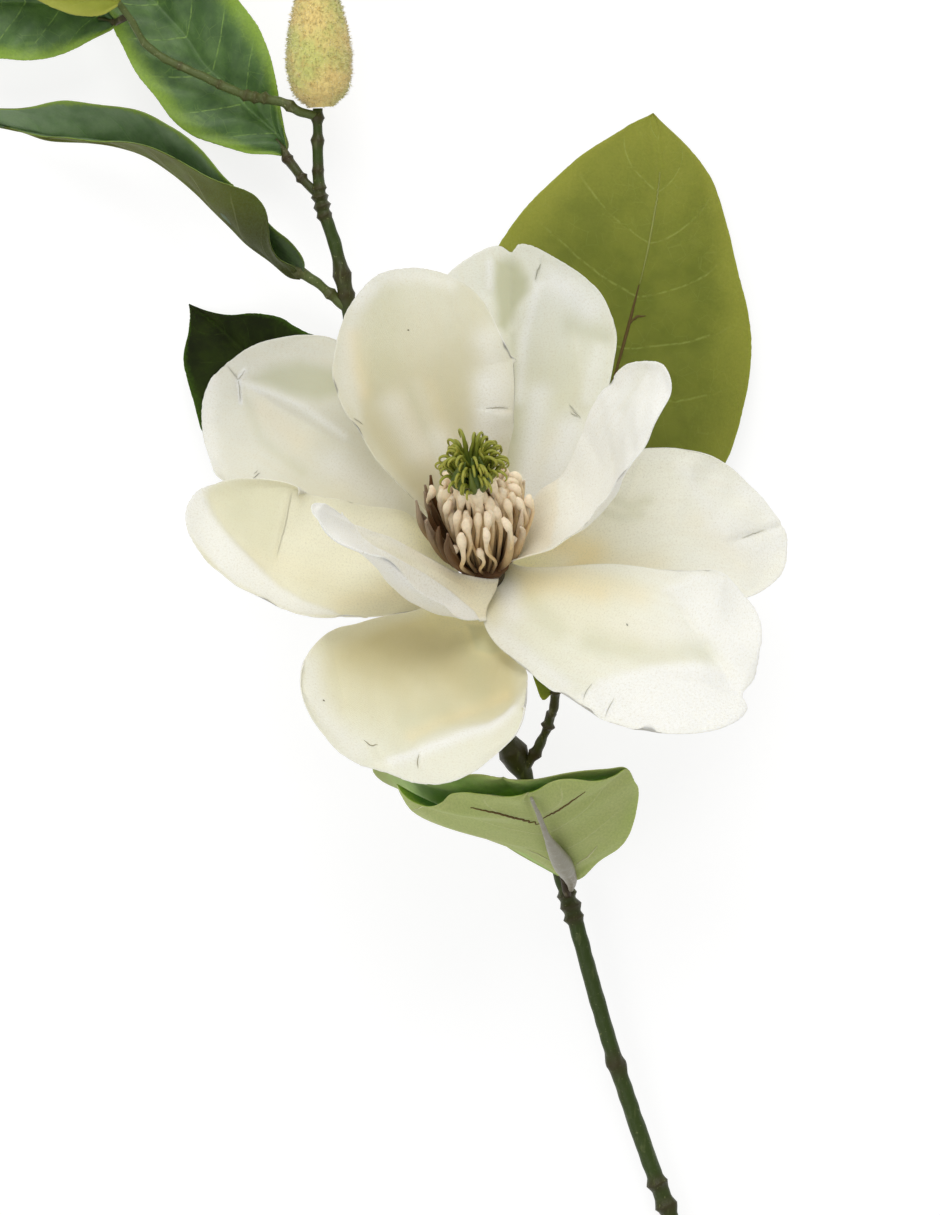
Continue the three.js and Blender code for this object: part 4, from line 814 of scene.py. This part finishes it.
# A leaf is spread between the lines of its midrib and its two edges. colours are those of the top, its
# darker parts, the margin, the underside, and the veins above and below. veins is how many run to a side,
# margin_from where the margin starts, rib how much the midrib shows, and foot the shade at its foot:
# (share, from, to along the leaf).
GREEN = ((88, 116, 64), (60, 86, 47), (132, 158, 56), (110, 122, 60), (150, 178, 92), (150, 160, 90))
OLIVE = ((120, 123, 49), (106, 111, 43), (142, 142, 60), (104, 112, 50), (152, 158, 84), (150, 158, 86))
LEAVES = {
    "leaf_1_upper_right": dict(
        middle=[
            (578, 530, 20), (597, 450, 17.4), (612, 385, 14.5), (621.5, 355, 13), (634, 309, 11.3),
            (648, 254, 9.1), (658, 192, 5.9), (659, 150, 3.4), (653, 114, 0.9)],
        left=[
            (572, 531, 20), (520, 470, 16.5), (492, 400, 13), (478, 330, 9.5), (482, 285, 7.5),
            (498, 245, 6), (520, 215, 4.8), (554, 180, 3.6), (594, 146, 2.6), (634, 123, 1.6),
            (653, 114, 0.9)],
        right=[
            (584, 532, 20), (650, 520, 17), (700, 490, 14), (725, 463, 12.4), (743, 408, 10), (751, 352, 8),
            (748, 315, 7.2), (737, 272, 6.6), (727, 226, 5.4), (712, 181, 4), (686, 145, 2.6),
            (653, 114, 0.9)],
        marks=[
            (0.5, 1, 1, 612, 385, 621, 355, 630, 322, 639, 285), (0.4, 0.9, 1, 629, 324, 636, 317, 646, 316),
            (0.3, 0.45, 1, 640, 284, 648, 250, 656, 205, 660, 172)],
        colours=OLIVE, veins=8, margin_from=0.55, gloss=0.65, rib=0, foot=(0.35, 0.6, 0.1), groove=-1,
        slot="leaf_olive_back"),
    "leaf_2_left": dict(
        middle=[
            (362, 452, 20), (330, 429, 17.4), (300, 405, 15.2), (272, 379, 12.6), (244, 352, 9.5),
            (217, 326, 5.9), (188.5, 304, 0.9)],
        left=[
            (356, 456, 20.7), (304, 461, 20.5), (252, 455, 20.4), (222, 445, 19.5), (205, 436, 17.5),
            (194, 402, 14.5), (187.5, 380, 12), (183, 357, 9), (189.5, 333, 5.5), (190.5, 315, 2.5),
            (188.5, 304, 0.9)],
        right=[
            (367, 446, 20.7), (360, 400, 20), (350, 360, 19.5), (340.5, 342, 19), (311, 334, 17),
            (296, 327, 15.6), (281, 318, 13.8), (255, 314, 10.4), (230, 315, 7.4), (208, 311, 4),
            (188.5, 304, 0.9)],
        # Leaf 2's very dark top colours are partly its own dark green and partly painted shade from the
        # petals over it.
        colours=((33, 41, 6), (21, 26, 4), (46, 64, 12), (80, 90, 44), (44, 54, 16), (120, 130, 60)),
        veins=7, margin_from=0.85, gloss=0.75, rib=0.2, slot="leaf_dark"),
    "leaf_3_long": dict(
        middle=[
            (300, 278, 26), (290, 276, 25), (270, 260, 22.5), (247, 243, 20.7), (231, 227, 19.5),
            (213, 209, 18.3), (196, 192, 17.2), (172, 172, 16.2), (145, 155, 15.2), (117, 146, 14.4),
            (90, 142, 13.8), (47, 139, 12.8), (23, 131, 12.1), (0, 126, 11.3), (-35, 122, 9.8),
            (-70, 120, 8)],
        left=[
            (299, 275, 27), (292, 267, 31), (278, 257, 34), (271, 243, 36), (269, 227, 37), (265, 210, 37.6),
            (253, 196, 37.6), (236, 188, 37.2), (219, 181, 36.5), (196, 170, 35.5), (168, 157, 34),
            (145, 147, 32), (121, 140.5, 29), (98, 138.5, 26), (70, 138.5, 22), (47, 137.5, 17),
            (10, 127.5, 12.5), (-35, 121, 10), (-70, 120, 8)],
        right=[
            (304, 274, 27), (304, 262, 30), (290, 243, 33), (272, 228, 34), (255, 207, 34.5),
            (236, 186, 34.3), (219, 170, 33.8), (200, 152, 33), (176, 131, 32), (145, 113, 30.3),
            (113, 105, 28.5), (70, 102, 26), (35, 106, 23), (0, 106.5, 19.5), (-35, 110, 14), (-70, 120, 8)],
        arch=-0.12,
        marks=[
            (0.2, 0.25, -1, 229, 185, 236, 193), (0.2, 0.25, -1, 233, 183, 232, 193),
            (0.2, 0.25, -1, 229, 190, 238, 188)],
        # Leaf 3's top colours are made lighter as painted light, against the shade of its fold.
        colours=(
            (128, 146, 116), (100, 122, 88), (128, 150, 70), (82, 84, 24), (120, 152, 98), (132, 134, 84)),
        veins=9, margin_from=0.9, gloss=0.6, rib=0.1, foot=(0.6, 0.32, 0.12)),
    "leaf_4_top": dict(
        middle=[
            (285, 153, 22), (284, 143, 21.5), (250, 110, 20.2), (223, 82, 18.8), (203.5, 63, 17.8),
            (188, 39, 16.5), (168, 16, 15), (148, -5, 12.9), (110, -35, 9.6), (75, -65, 6)],
        left=[
            (281, 156, 22), (270, 154.5, 22.7), (250, 153.5, 23.5), (219, 145, 24.3), (192, 135, 24),
            (172, 119, 23.9), (156.5, 98, 22.5), (137, 74, 21), (123, 47, 18.5), (111, 23.5, 16.5),
            (100, 0, 14.5), (86, -30, 11), (75, -65, 6)],
        right=[
            (288, 152, 22), (286, 145, 22.5), (284, 129, 23.2), (280, 102, 23.8), (276, 78, 24),
            (270, 55, 24.1), (258, 27, 24), (243, 6, 23), (215, -25, 21), (175, -48, 17.6), (130, -60, 12.5),
            (75, -65, 6)],
        colours=GREEN, veins=7, margin_from=0.64, rib=0.03, puff=0.55),
    "leaf_5_front": dict(
        middle=[
            (567, 880, 27), (556, 860, 38), (545, 838, 50), (536, 818, 62), (530, 804, 72), (528, 795, 79)],
        right=[
            (564, 881, 27), (552, 873, 26.5), (528, 859, 27.5), (510, 846, 28.5), (480, 835, 30),
            (450, 822, 32), (432, 820, 34.5), (414, 813, 39), (404, 803, 46), (396, 786, 56), (403, 794, 60),
            (414, 801, 64), (430, 806, 68), (442, 802, 71), (450, 794, 74), (465, 792, 77), (480, 795, 78),
            (504, 798, 79), (528, 795, 79)],
        left=[
            (570, 881, 27.5), (579, 880, 28.5), (597, 865, 34), (618, 849, 41), (631, 828, 48),
            (638, 792, 58), (634, 780, 66), (626, 768, 71), (615, 775, 74), (597, 781, 78), (570, 781, 80),
            (552, 784, 80.5), (540, 790, 80), (528, 795, 79)],
        marks=[
            (0.45, 1, -1, 471, 807, 500, 813, 541, 824), (0.45, 0.9, -1, 542, 818, 560, 808, 585, 791),
            (0.3, 0.3, -1, 528, 849, 540, 854, 552, 861), (0.3, 0.3, -1, 577, 863, 588, 856, 597, 846),
            (0.25, 0.3, -1, 413, 810, 424, 806, 442, 807)],
        arch=-0.06,
        colours=(
            (104, 144, 68), (78, 116, 56), (146, 172, 70), (178, 185, 120), (130, 166, 84), (192, 196, 142)),
        veins=5, margin_from=0.8, gloss=0.65, rib=0.25, groove=-1, slot="leaf_pale_back"),
    "leaf_5_back": dict(
        middle=[(563, 874, 21), (547, 843, 34), (530, 815, 48), (515, 795, 62), (503, 778.5, 77)],
        left=[
            (560, 875, 20), (520, 853, 21), (481, 829, 21), (443, 806, 20.5), (410, 793, 22), (385, 785, 27),
            (373, 775, 33), (372, 765, 40), (384, 765, 50), (395, 774, 60), (417, 780, 66), (440, 779, 70),
            (480, 776, 76), (503, 778.5, 77)],
        right=[
            (566, 874, 21), (593, 854, 31), (615, 832, 41), (628, 811, 49), (633, 792, 57), (632, 775, 65),
            (624, 766, 71), (608, 769, 74), (581, 772, 77), (548, 776, 79), (525, 778, 79),
            (503, 778.5, 77)],
        # Leaf 5 back's colours are made lighter as painted light, against the shade that leaf 5 front and the
        # petals cast on it.
        colours=(
            (178, 200, 126), (146, 174, 102), (152, 158, 98), (140, 150, 84), (160, 188, 108),
            (160, 170, 110)),
        veins=5, margin_from=0.72, gloss=0.6),
    "leaf_6_left": dict(
        middle=[
            (115, 22, 22), (70, 8, 19), (28, 2, 16.5), (-15, 3, 14.2), (-57, 10, 11.5), (-97, 23, 8.4),
            (-135, 40, 5)],
        left=[
            (115, 26, 22.4), (113.5, 29, 22.6), (94, 39, 22.9), (74, 49, 22.9), (51, 57, 22.3),
            (27, 60.5, 21.8), (0, 59, 20.5), (-40, 60, 17), (-88, 55, 11.3), (-135, 40, 5)],
        right=[
            (116, 18, 22.6), (77, -29, 22.2), (28, -52, 21), (-23, -56, 19.2), (-71, -41, 16),
            (-111, -9, 11.3), (-135, 40, 5)],
        colours=GREEN, veins=7, margin_from=0.68, rib=0.03, puff=0.55),
    "leaf_7_top": dict(
        middle=[
            (120, 2, 31), (81, -18, 32.1), (49, -40, 31.9), (19, -65, 30.4), (-8, -91, 27.8),
            (-35, -117, 24.8), (-60, -144, 22)],
        left=[
            (117, 6, 31.2), (102, 15, 33), (78, 15.5, 34.5), (58.5, 10, 35), (38, 0, 35.3), (10, -18, 35),
            (-18, -40, 34.3), (-44, -70, 31.2), (-60, -105, 27.2), (-60, -144, 22)],
        right=[
            (121, -1, 31.2), (96, -43, 34.3), (75, -76, 35.2), (52, -106, 34.2), (22, -128, 31.2),
            (-13, -141, 27.2), (-60, -144, 22)],
        colours=(
            (152, 157, 61), (133, 140, 53), (160, 162, 74), (130, 140, 70), (160, 165, 90), (160, 165, 100)),
        veins=7, margin_from=0.6, gloss=0.6),
    "leaf_8_small": dict(
        middle=[(555, 690, 36), (545, 684, 37), (535, 670, 38), (525, 655, 38), (519, 640, 37)],
        left=[(553, 692, 36), (543, 700, 36.5), (536, 685, 37.5), (530, 666, 38), (519, 640, 37)],
        right=[(558, 689, 36), (556, 680, 37), (548, 665, 38), (535, 650, 38), (519, 640, 37)],
        colours=(
            (112, 112, 38), (92, 96, 32), (126, 126, 44), (96, 100, 40), (126, 130, 60), (126, 130, 60)),
        veins=5, margin_from=0.7, gloss=0.6, size=0.2, thickness=0.3, grid=(40, 24), slot="leaf_olive_back"),
}


def leaf_points(b, right, left, u, v):
    m = b["line"].at(u)
    edge = np.where((v > 0)[..., None], right.at(u), left.at(u))
    side = np.abs(v)[..., None]
    wide = np.linalg.norm(edge - m, axis=-1)
    rise = unit(np.cross(right.at(u) - left.at(u) + 1e-6, b["line"].tangent(u)))
    bend = b.get("arch", 0.05) * np.sin(math.pi * side) * wide[..., None]
    return m + (edge - m) * side + rise * bend, u + 0 * v, wide * v


def leaf_detail(b, s, v, w, *_):
    """The midrib's groove, raised side veins and a slightly wavy edge."""
    size, side = b.get("size", 1.0), np.abs(v)
    cloth = np.stack([w, s * b["line"].length], -1)
    d = -0.5 * size * np.exp(-((w / 1.3) ** 2)) * b.get("groove", 1)
    vein = np.cos(2 * np.pi * (s * b["veins"] - side ** 1.2 * 1.1))
    d = d + b.get("puff", 0.22) * size * vein * ease(side, 0.05, 0.3) * (1 - ease(side, 0.75, 1))
    d = d + 0.5 * size * waves(cloth, 48, b["seed"]) * ease(side, 0.1, 0.8)
    return d + 0.5 * size * side ** 4 * waves(cloth, 30, b["seed"] + 9)


for i, (name, b) in enumerate(LEAVES.items()):
    b.update(line=grid_line(b["middle"]), seed=60 + i)
    right, left = grid_line(b["right"]), grid_line(b["left"])
    leaf = skin(name + "_blade", b, lambda u, v: leaf_points(b, right, left, u, v), leaf_detail,
                leaf_look(name + "_blade", b), *b.get("grid", LEAF_GRID), b.get("thickness", CLOTH),
                LEAF_FRAY)
    settle(leaf, name)

# ------------------------------------------------------------------ stems
BARK = bark_look("stem_bark", (50, 66, 14), (58, 46, 24), (106, 114, 68), share=0.62)
TWIG = bark_look("twig_bark", (62, 68, 30), (58, 46, 26), (132, 124, 92), share=0.48)
TWIG_GREEN = bark_look("twig_top_bark", (82, 94, 46), (70, 66, 34), (140, 142, 98), share=0.68)
main_line = grid_line([
    (735, 1398, 3.4), (702, 1300, 4.5), (667, 1208, 7), (635, 1120, 9), (603, 1020, 11), (571, 908, 14),
    (549, 840, 17), (524, 775, 20), (484, 700, 22), (430, 600, 22), (382, 470, 23), (357, 370, 24),
    (348, 303, 25), (335, 245, 26), (320, 196, 27), (318, 108.4, 28)])
# Knots of the stem: u, v, extra radius in mm, half width in mm.
STEM_KNOTS = [
    (655, 1184, 0.9, 2.5), (665, 1206, 1.1, 3), (633, 1058, 0.5, 4), (571, 893, 0.9, 2), (570, 906, 1.0, 2.5),
    (572, 918, 0.9, 2), (514, 752, 2.6, 11), (344, 274, 0.9, 5), (345, 295, 0.8, 4), (323, 205, 1.0, 1.6),
    (321, 196, 1.1, 1.8), (322, 188, 0.8, 1.6), (326, 215, 0.6, 1.5), (320, 170, 0.4, 2), (318, 140, 0.5, 2),
    (318, 118, 0.8, 2)]
tube_mesh("stem", "main_stem", "bark", BARK, [tube_points(
    main_line, [2.9, 2.8, 2.7, 2.6, 2.4, 2.3, 2.3, 2.3, 2.2, 1.6], 20, 420,
    [(main_line.share(u, v), more, wide) for u, v, more, wide in STEM_KNOTS], 0.12, 3)])


def flower_line(*stops):
    """A line through places given as radius, azimuth and height over the bloom's base."""
    return Line([FLOWER_BASE + AXIS * height + SIDE * radius * math.cos(azimuth)
                 + BACK * radius * math.sin(azimuth) for radius, azimuth, height in stops])


stalk_line = grid_line([
    (521, 774, 20), (538, 748, 24), (549, 722, 29), (555, 698, 34), (553, 672, 38), (525, 632, 43),
    (488, 597, 49)])
STALK_KNOTS = [
    (0.12, 0.9, 2.5), (0.27, 0.9, 1.2), (0.33, 0.4, 1.5), (0.45, 0.9, 1.2), (0.5, 0.5, 2), (0.66, 0.9, 2.5)]
tube_mesh("flower_stalk_bark", "flower_stalk", "twig", TWIG, [
    tube_points(stalk_line, [1.6, 1.5, 1.5, 1.6, 2.2, 2.0], 20, 90, STALK_KNOTS, 0.14, 5),
    tube_points(flower_line((0, 0, -17), (0, 0, -9), (0, 0, -2)), [2.8, 5.4, 6.8], 32, 24)])
# Each twig: its points, its radii in mm and its knots.
TWIGS = {
    "twig_leaf_3": ([(350, 311, 25), (330, 294, 25), (316, 282, 26), (302, 273.6, 26), (290, 268, 26),
                     (280, 262, 25.5)], [1.7, 1.7, 1.5, 1.7, 1.8, 0.6], [(0.3, 0.4, 2), (0.75, 0.5, 2)]),
    "twig_leaf_4": ([(321, 196, 27), (307, 184, 26), (296, 170, 24), (287.6, 159.2, 22), (284, 150, 22),
                     (276, 139, 21.6)], [1.6, 1.6, 1.4, 1.6, 1.2, 0.4], [(0.35, 0.6, 1.5), (0.7, 0.4, 1.5)]),
    "twig_top": ([(319, 116, 28), (300, 112, 29), (284, 103, 29), (246, 95, 29), (200, 75, 28), (162, 57, 27),
                  (145, 43, 27), (132, 22, 28), (123, 9, 29), (118, 3, 30.5)], [1.6, 1.5, 1.4, 1.3, 1.2, 1.1],
                 [(0.13, 0.5, 2), (0.24, 0.7, 1.5), (0.28, 0.6, 1.5), (0.32, 0.6, 1.5), (0.44, 0.4, 1.2),
                  (0.62, 0.3, 1.0)]),
    "petiole_leaf_1": ([(440, 610, 22), (500, 580, 21), (545, 560, 20), (577, 532.2, 20)],
                       [1.5, 1.4, 1.3, 1.3], ()),
    "petiole_leaf_2": ([(383, 462, 22), (372, 458, 21), (364, 454, 20)], [1.4, 1.3, 1.2], ()),
    "petiole_leaf_6": ([(128, 16, 28), (120, 20, 25), (113.5, 22, 22), (98, 18, 21)],
                       [1.2, 1.2, 1.1, 0.4], ()),
    "petiole_leaf_5_back": ([(568, 896, 17), (566, 888, 19), (563.4, 876.6, 20.5)], [1.3, 1.3, 1.2], ()),
}
for k, (name, (points, radii, knots)) in enumerate(TWIGS.items()):
    line = grid_line(points)
    tube_mesh(name + "_bark", name, "twig", TWIG_GREEN if name in ("twig_top", "twig_leaf_3") else TWIG,
              [tube_points(line, radii, 16, max(int(line.length * 1.5), 12), knots, 0.12, 10 + k)])
rib_line = grid_line([
    (571, 889, 20), (571, 880, 29), (565, 868, 38), (556, 853, 49), (547, 836, 60), (540, 818, 70),
    (531, 798, 79)])
tube_mesh("leaf_5_rib", "rib_leaf_5", "rib_grey",
          bark_look("rib_plastic", (150, 146, 130), (138, 130, 112), (178, 176, 162), 0.38),
          [tube_points(rib_line, [0.9, 2.2, 3.2, 2.3, 1.1, 0.8, 0.5], 20, 90, (), 0.06, 30)])


# ------------------------------------------------------------------ the flower's middle
def draw(seed):
    """The random numbers from 0 to 1 that the solids of the stamens and styles are placed by."""
    state = seed
    while True:
        state = (state * 1664525 + 1013904223) % 4294967296
        yield state / 4294967296


def strands(name, node, slot, look, items, sides, rows):
    """Many small tubes in one mesh: each item is (line, radii, tone, dark)."""
    tubes = [tube_points(line, radii, sides, rows) for line, radii, _, _ in items]
    tones, darks = ([item[k] for item in items] for k in (2, 3))
    tube_mesh(name, node, slot, look, tubes, tone=tones, dark=darks)


GOLDEN = math.pi * (3 - math.sqrt(5))
STAMEN_COUNT, STAMEN_LENGTH, INNER_COUNT, SLAT_COUNT, SLATS_LEFT = 70, 31, 38, 20, 14
CLUB = [0.66, 0.64, 0.62, 0.6, 0.6, 0.6, 0.6, 0.6, 0.62, 0.62, 0.64, 0.66, 0.68, 0.7, 0.95, 1.45, 1.4, 0.7]


def club(line, least, most):
    """A strand with a club head, in a size of its own."""
    size = rng.uniform(least, most)
    return line, [r * size for r in CLUB], rng.uniform(0, 1), 0.0


random = draw(11)
# A disc at the bloom's base and a core under the strands, both dark brown: painted shade in the hollow
# between the petals and behind the strands.
items = [(flower_line((0, 0, -1.5), (0, 0, 1), (0, 0, 3)), [7.8, 8.6, 8.2, 4.0], 0.0, 1.0),
         (flower_line((0, 0, 2), (0, 0, 14), (0, 0, 27)), [5.6, 4.9, 4.8, 4.6, 3.0], 0.0, 1.0)]
for i in range(STAMEN_COUNT):
    azimuth = GOLDEN * i
    outer = ((i + 1) / STAMEN_COUNT) ** 0.75
    front = (1 - math.sin(azimuth)) / 2
    root = 4.6 + 3.2 * outer
    flare = (1.4 + 9.4 * outer + 1.4 * next(random)) * (0.78 + 0.22 * front) * (1 - 0.12 * math.cos(azimuth))
    long = STAMEN_LENGTH * (1.07 - 0.06 * outer - 0.08 * next(random)) * (1 - 0.12 * outer * front)
    turn = 0.35 * (next(random) - 0.5)
    inward = 0.8 + 0.25 * next(random)
    if front > 0.62 and outer > 0.5 and i % 3 == 0:
        long *= rng.uniform(0.4, 0.65)
        flare *= rng.uniform(0.6, 0.8)
    bend, wave = rng.uniform(0.55, 1.0), rng.uniform(-0.12, 0.12)
    # The front and the left are thinned out, as in the photo.
    if front > 0.5 and outer > 0.45 and i % 2 or math.cos(azimuth) < -0.6 and outer > 0.5 and i % 3:
        continue
    items.append(club(flower_line(
        (root, azimuth, 1),
        (root + flare * 0.55, azimuth + turn * 0.3 + wave, 1 + long * 0.33),
        (root + flare, azimuth + turn * 0.7 - wave, 1 + long * 0.70),
        (root + flare * inward * 0.92, azimuth + turn, 1 + long * 0.93),
        (root + flare * inward * bend, azimuth + turn * 1.1, 1 + long)), 0.85, 1.15))
for i in range(INNER_COUNT):
    azimuth = -math.pi / 2 + (i / (INNER_COUNT - 1) - 0.5) * 4.8 + rng.uniform(-0.08, 0.08)
    if i % 4 == 0 and 6 < i < 30:
        continue
    high = rng.uniform(37, 42) if i % 2 else rng.uniform(27, 35)
    out = rng.uniform(4.2, 6.5) if i % 2 else rng.uniform(6.5, 9.0)
    items.append(club(flower_line(
        (5.0, azimuth, 2), (7.0, azimuth + rng.uniform(-0.2, 0.2), high * 0.4),
        (out + 1.5, azimuth + rng.uniform(-0.25, 0.25), high * 0.75),
        (out, azimuth + rng.uniform(-0.3, 0.3), high)), 0.9, 1.2))
for i in range(SLAT_COUNT):
    left = i < SLATS_LEFT
    azimuth = math.pi + (i / (SLATS_LEFT - 1) - 0.35) * 1.5 if left else (i - 17) * 0.28
    wide = rng.uniform(15.0, 19.5) if left else rng.uniform(14.5, 18)
    line = flower_line(
        (6.5, azimuth, 1), (6.5 + wide * 0.35, azimuth, 9),
        (wide * 0.95, azimuth + rng.uniform(-0.06, 0.06), 20),
        (wide, azimuth + rng.uniform(-0.1, 0.1), rng.uniform(24, 30)))
    items.append((line, [0.9, 1.2, 1.4, 1.3, 1.0, 0.4], 0.0, rng.uniform(0.7, 1.0) if left else 0.3))
STAMEN_LOOK = strand_look("stamen_plastic", (82, 56, 30), (224, 196, 150), (250, 234, 208), (92, 60, 26))
strands("stamen_heads", "stamens", "stamen_beige", STAMEN_LOOK, items, 12, 40)

STYLES_FROM, CORE_RADIUS, CORE_HEIGHT, CURL_COUNT, BLADE_COUNT = 34, 4.6, 44, 84, 9
random = draw(5)
items = [(flower_line((0, 0, 33), (0, 0, 36), (0, 0, CORE_HEIGHT - 2)),
          [CORE_RADIUS * 0.9, CORE_RADIUS, CORE_RADIUS, CORE_RADIUS * 0.5], 0.0, 0.9)]
for i in range(CURL_COUNT):
    part = (i + 0.5) / CURL_COUNT
    azimuth = GOLDEN * i
    height = STYLES_FROM + 2.5 + (CORE_HEIGHT - STYLES_FROM - 4.5) * part
    lean = 1 - part * 0.5
    curl = 1.3 + 0.8 * next(random)
    out = (4.2 + 2.6 * next(random)) * lean
    up = 3.5 + 2.4 * part + 2.2 * next(random)
    turn = azimuth + 0.7 * (next(random) - 0.5)
    far, top = 3.4 * lean + out, height + up
    hook = [(far + curl * (1 - math.cos(a)), turn, top + curl * math.sin(a))
            for a in (0.5, 1.4, 2.4, 3.3, 4.1)]
    if i % 9 == 0:
        hook = [(far * 0.8, turn, top + 1.5), (far * 0.8 + 0.5, turn, top + 3.5)]
    line = flower_line((CORE_RADIUS * 0.55 * lean, azimuth, height - 1.5),
                       (3.0 * lean + out * 0.6, azimuth, height + up * 0.45), (far, turn, top), *hook)
    items.append((line, [0.7, 0.74, 0.68, 0.62, 0.54, 0.42, 0.2], rng.uniform(0, 1), 0.0))
for i in range(BLADE_COUNT):
    azimuth = -math.pi / 2 + rng.uniform(-1.1, 1.1)
    line = flower_line((3.8, azimuth, 35), (6.4 + rng.uniform(0, 1.5), azimuth, 40),
                       (5.2, azimuth + rng.uniform(-0.4, 0.4), rng.uniform(46, 51)))
    items.append((line, [0.8, 1.2, 1.3, 0.9, 0.25], rng.uniform(0, 1), rng.uniform(0.6, 1.0)))
STYLE_LOOK = strand_look("style_plastic", (54, 78, 30), (128, 134, 42), (166, 164, 66), (44, 74, 32), 0.42)
strands("style_curls", "styles", "style_green", STYLE_LOOK, items, 10, 26)

# ------------------------------------------------------------------ the bud
BUD_RADII = [4.2, 8.4, 9.9, 10.4, 10.6, 10.2, 9.6, 8.7, 7.6, 6.3, 4.8, 3.2, 1.6]
BUD_SIDES, BUD_ROWS, HAIR_COUNT, HAIR_ROOM = 64, 110, 7000, 0.3
bud_line = grid_line([(322, 107, 30), (319, 60, 31), (317, 0, 31), (315, -46, 30)])
p, s, _ = tube_points(bud_line, BUD_RADII, BUD_SIDES, BUD_ROWS)
p = p + unit(p - bud_line.at(s)[:, None]) * (0.18 * waves(p, 1.5, 77, 12)[..., None] - HAIR_ROOM)
look = Look("bud_down", 0.9, Sheen_Weight=0.3)
spots, hair = look.noise(look.place(), 420.0, 4.0, 0.7), look.value("hair")
c = look.tint((236, 212, 138), look.noise(look.place(), 60.0, 3.0, 0.5), 0.4, 0.62, (208, 208, 124))
c = look.tint(c, spots, 0.45, 0.7, (212, 176, 104), 0.5)
c = look.tint(c, hair, 0.45, 1.0, (248, 240, 192), 0.75)
look.colour(look.tint(c, hair, 0.12, 0.0, (168, 152, 82), 0.9))
look.bump(spots, 0.0008, 0.9)
outward = unit(p - bud_line.at(s)[:, None]).reshape(-1, 3)
body = p.reshape(-1, 3)
pick = rng.randint(BUD_SIDES, len(body) - BUD_SIDES, HAIR_COUNT)
root = body[pick] + rng.normal(scale=0.25, size=(HAIR_COUNT, 3))
lean = unit(outward[pick] + rng.normal(scale=0.45, size=(HAIR_COUNT, 3)))
tip = root + lean * rng.uniform(0.5, 1.3, HAIR_COUNT)[:, None]
a = unit(np.cross(lean, rng.normal(size=(HAIR_COUNT, 3))))
b = np.cross(lean, a)
hairs = np.stack([root + a * 0.16, root - a * 0.08 + b * 0.14, root - a * 0.08 - b * 0.14, tip], 1)
hairs = hairs.reshape(-1, 3)
start = len(body) + np.arange(HAIR_COUNT) * 4
hair_faces = [tuple(f) for k in ((0, 1, 3), (1, 2, 3), (2, 0, 3))
              for f in np.stack([start + j for j in k], -1)]
shade = np.r_[np.full(len(body), 0.2), np.repeat(rng.uniform(0, 1, HAIR_COUNT), 4)]
settle(mesh_object("bud_body", np.vstack([body, hairs]), tube_faces(len(s), BUD_SIDES) + hair_faces,
                   look.material, {"hair": shade}), "bud")

# ------------------------------------------------------------------ floor, lights, camera
floor_mesh = bpy.data.meshes.new("floor")
floor_mesh.from_pydata([(-6, -6, 0), (6, -6, 0), (6, 6, 0), (-6, 6, 0)], [], [(0, 1, 2, 3)])
floor = bpy.data.objects.new("floor", floor_mesh)
bpy.context.scene.collection.objects.link(floor)
look = Look("light_table", 0.9, Specular_IOR_Level=0.1, Emission_Color=(255, 255, 255), Emission_Strength=0.8)
look.colour(look.mix(look.noise(look.place(), 3.0), (138, 138, 138), (142, 142, 142)))
floor_mesh.materials.append(look.material)

LIGHT_TARGET, LIGHT_COLOUR = Vector((0, 0, 0.05)), (1, 0.995, 0.97)
LIGHTS = ("key", (-0.1, 1.65, 1.85), 1.5, 27.5), ("fill", (-1.2, -0.7, 2.0), 1.6, 10.5)
for name, place, size, power in LIGHTS:
    light = bpy.data.lights.new(name, "AREA")
    light.shape, light.size, light.energy, light.color = "DISK", size, power, LIGHT_COLOUR
    lamp = bpy.data.objects.new(name, light)
    lamp.location = place
    lamp.rotation_euler = (LIGHT_TARGET - Vector(place)).to_track_quat("-Z", "Y").to_euler()
    bpy.context.scene.collection.objects.link(lamp)
world = bpy.data.worlds.new("studio")
world.use_nodes = True
sky = world.node_tree.nodes["Background"].inputs
sky[0].default_value, sky[1].default_value = (1, 1, 1, 1), 0.53
bpy.context.scene.world = world
bpy.context.scene.view_settings.view_transform = "Standard"

SENSOR_MM = 36
camera_data = bpy.data.cameras.new("camera")
camera = bpy.data.objects.new("camera", camera_data)
bpy.context.scene.collection.objects.link(camera)
camera.location = Vector(((np.array([0, 0, VIEW_HEIGHT]) + SHIFT) * MM).tolist())
camera_data.sensor_width = SENSOR_MM
camera_data.lens = SENSOR_MM * (VIEW_HEIGHT - GRID_LEVEL) / (GRID_MM * GRID_HEIGHT)
camera_data.clip_end = 20
bpy.context.scene.camera = camera
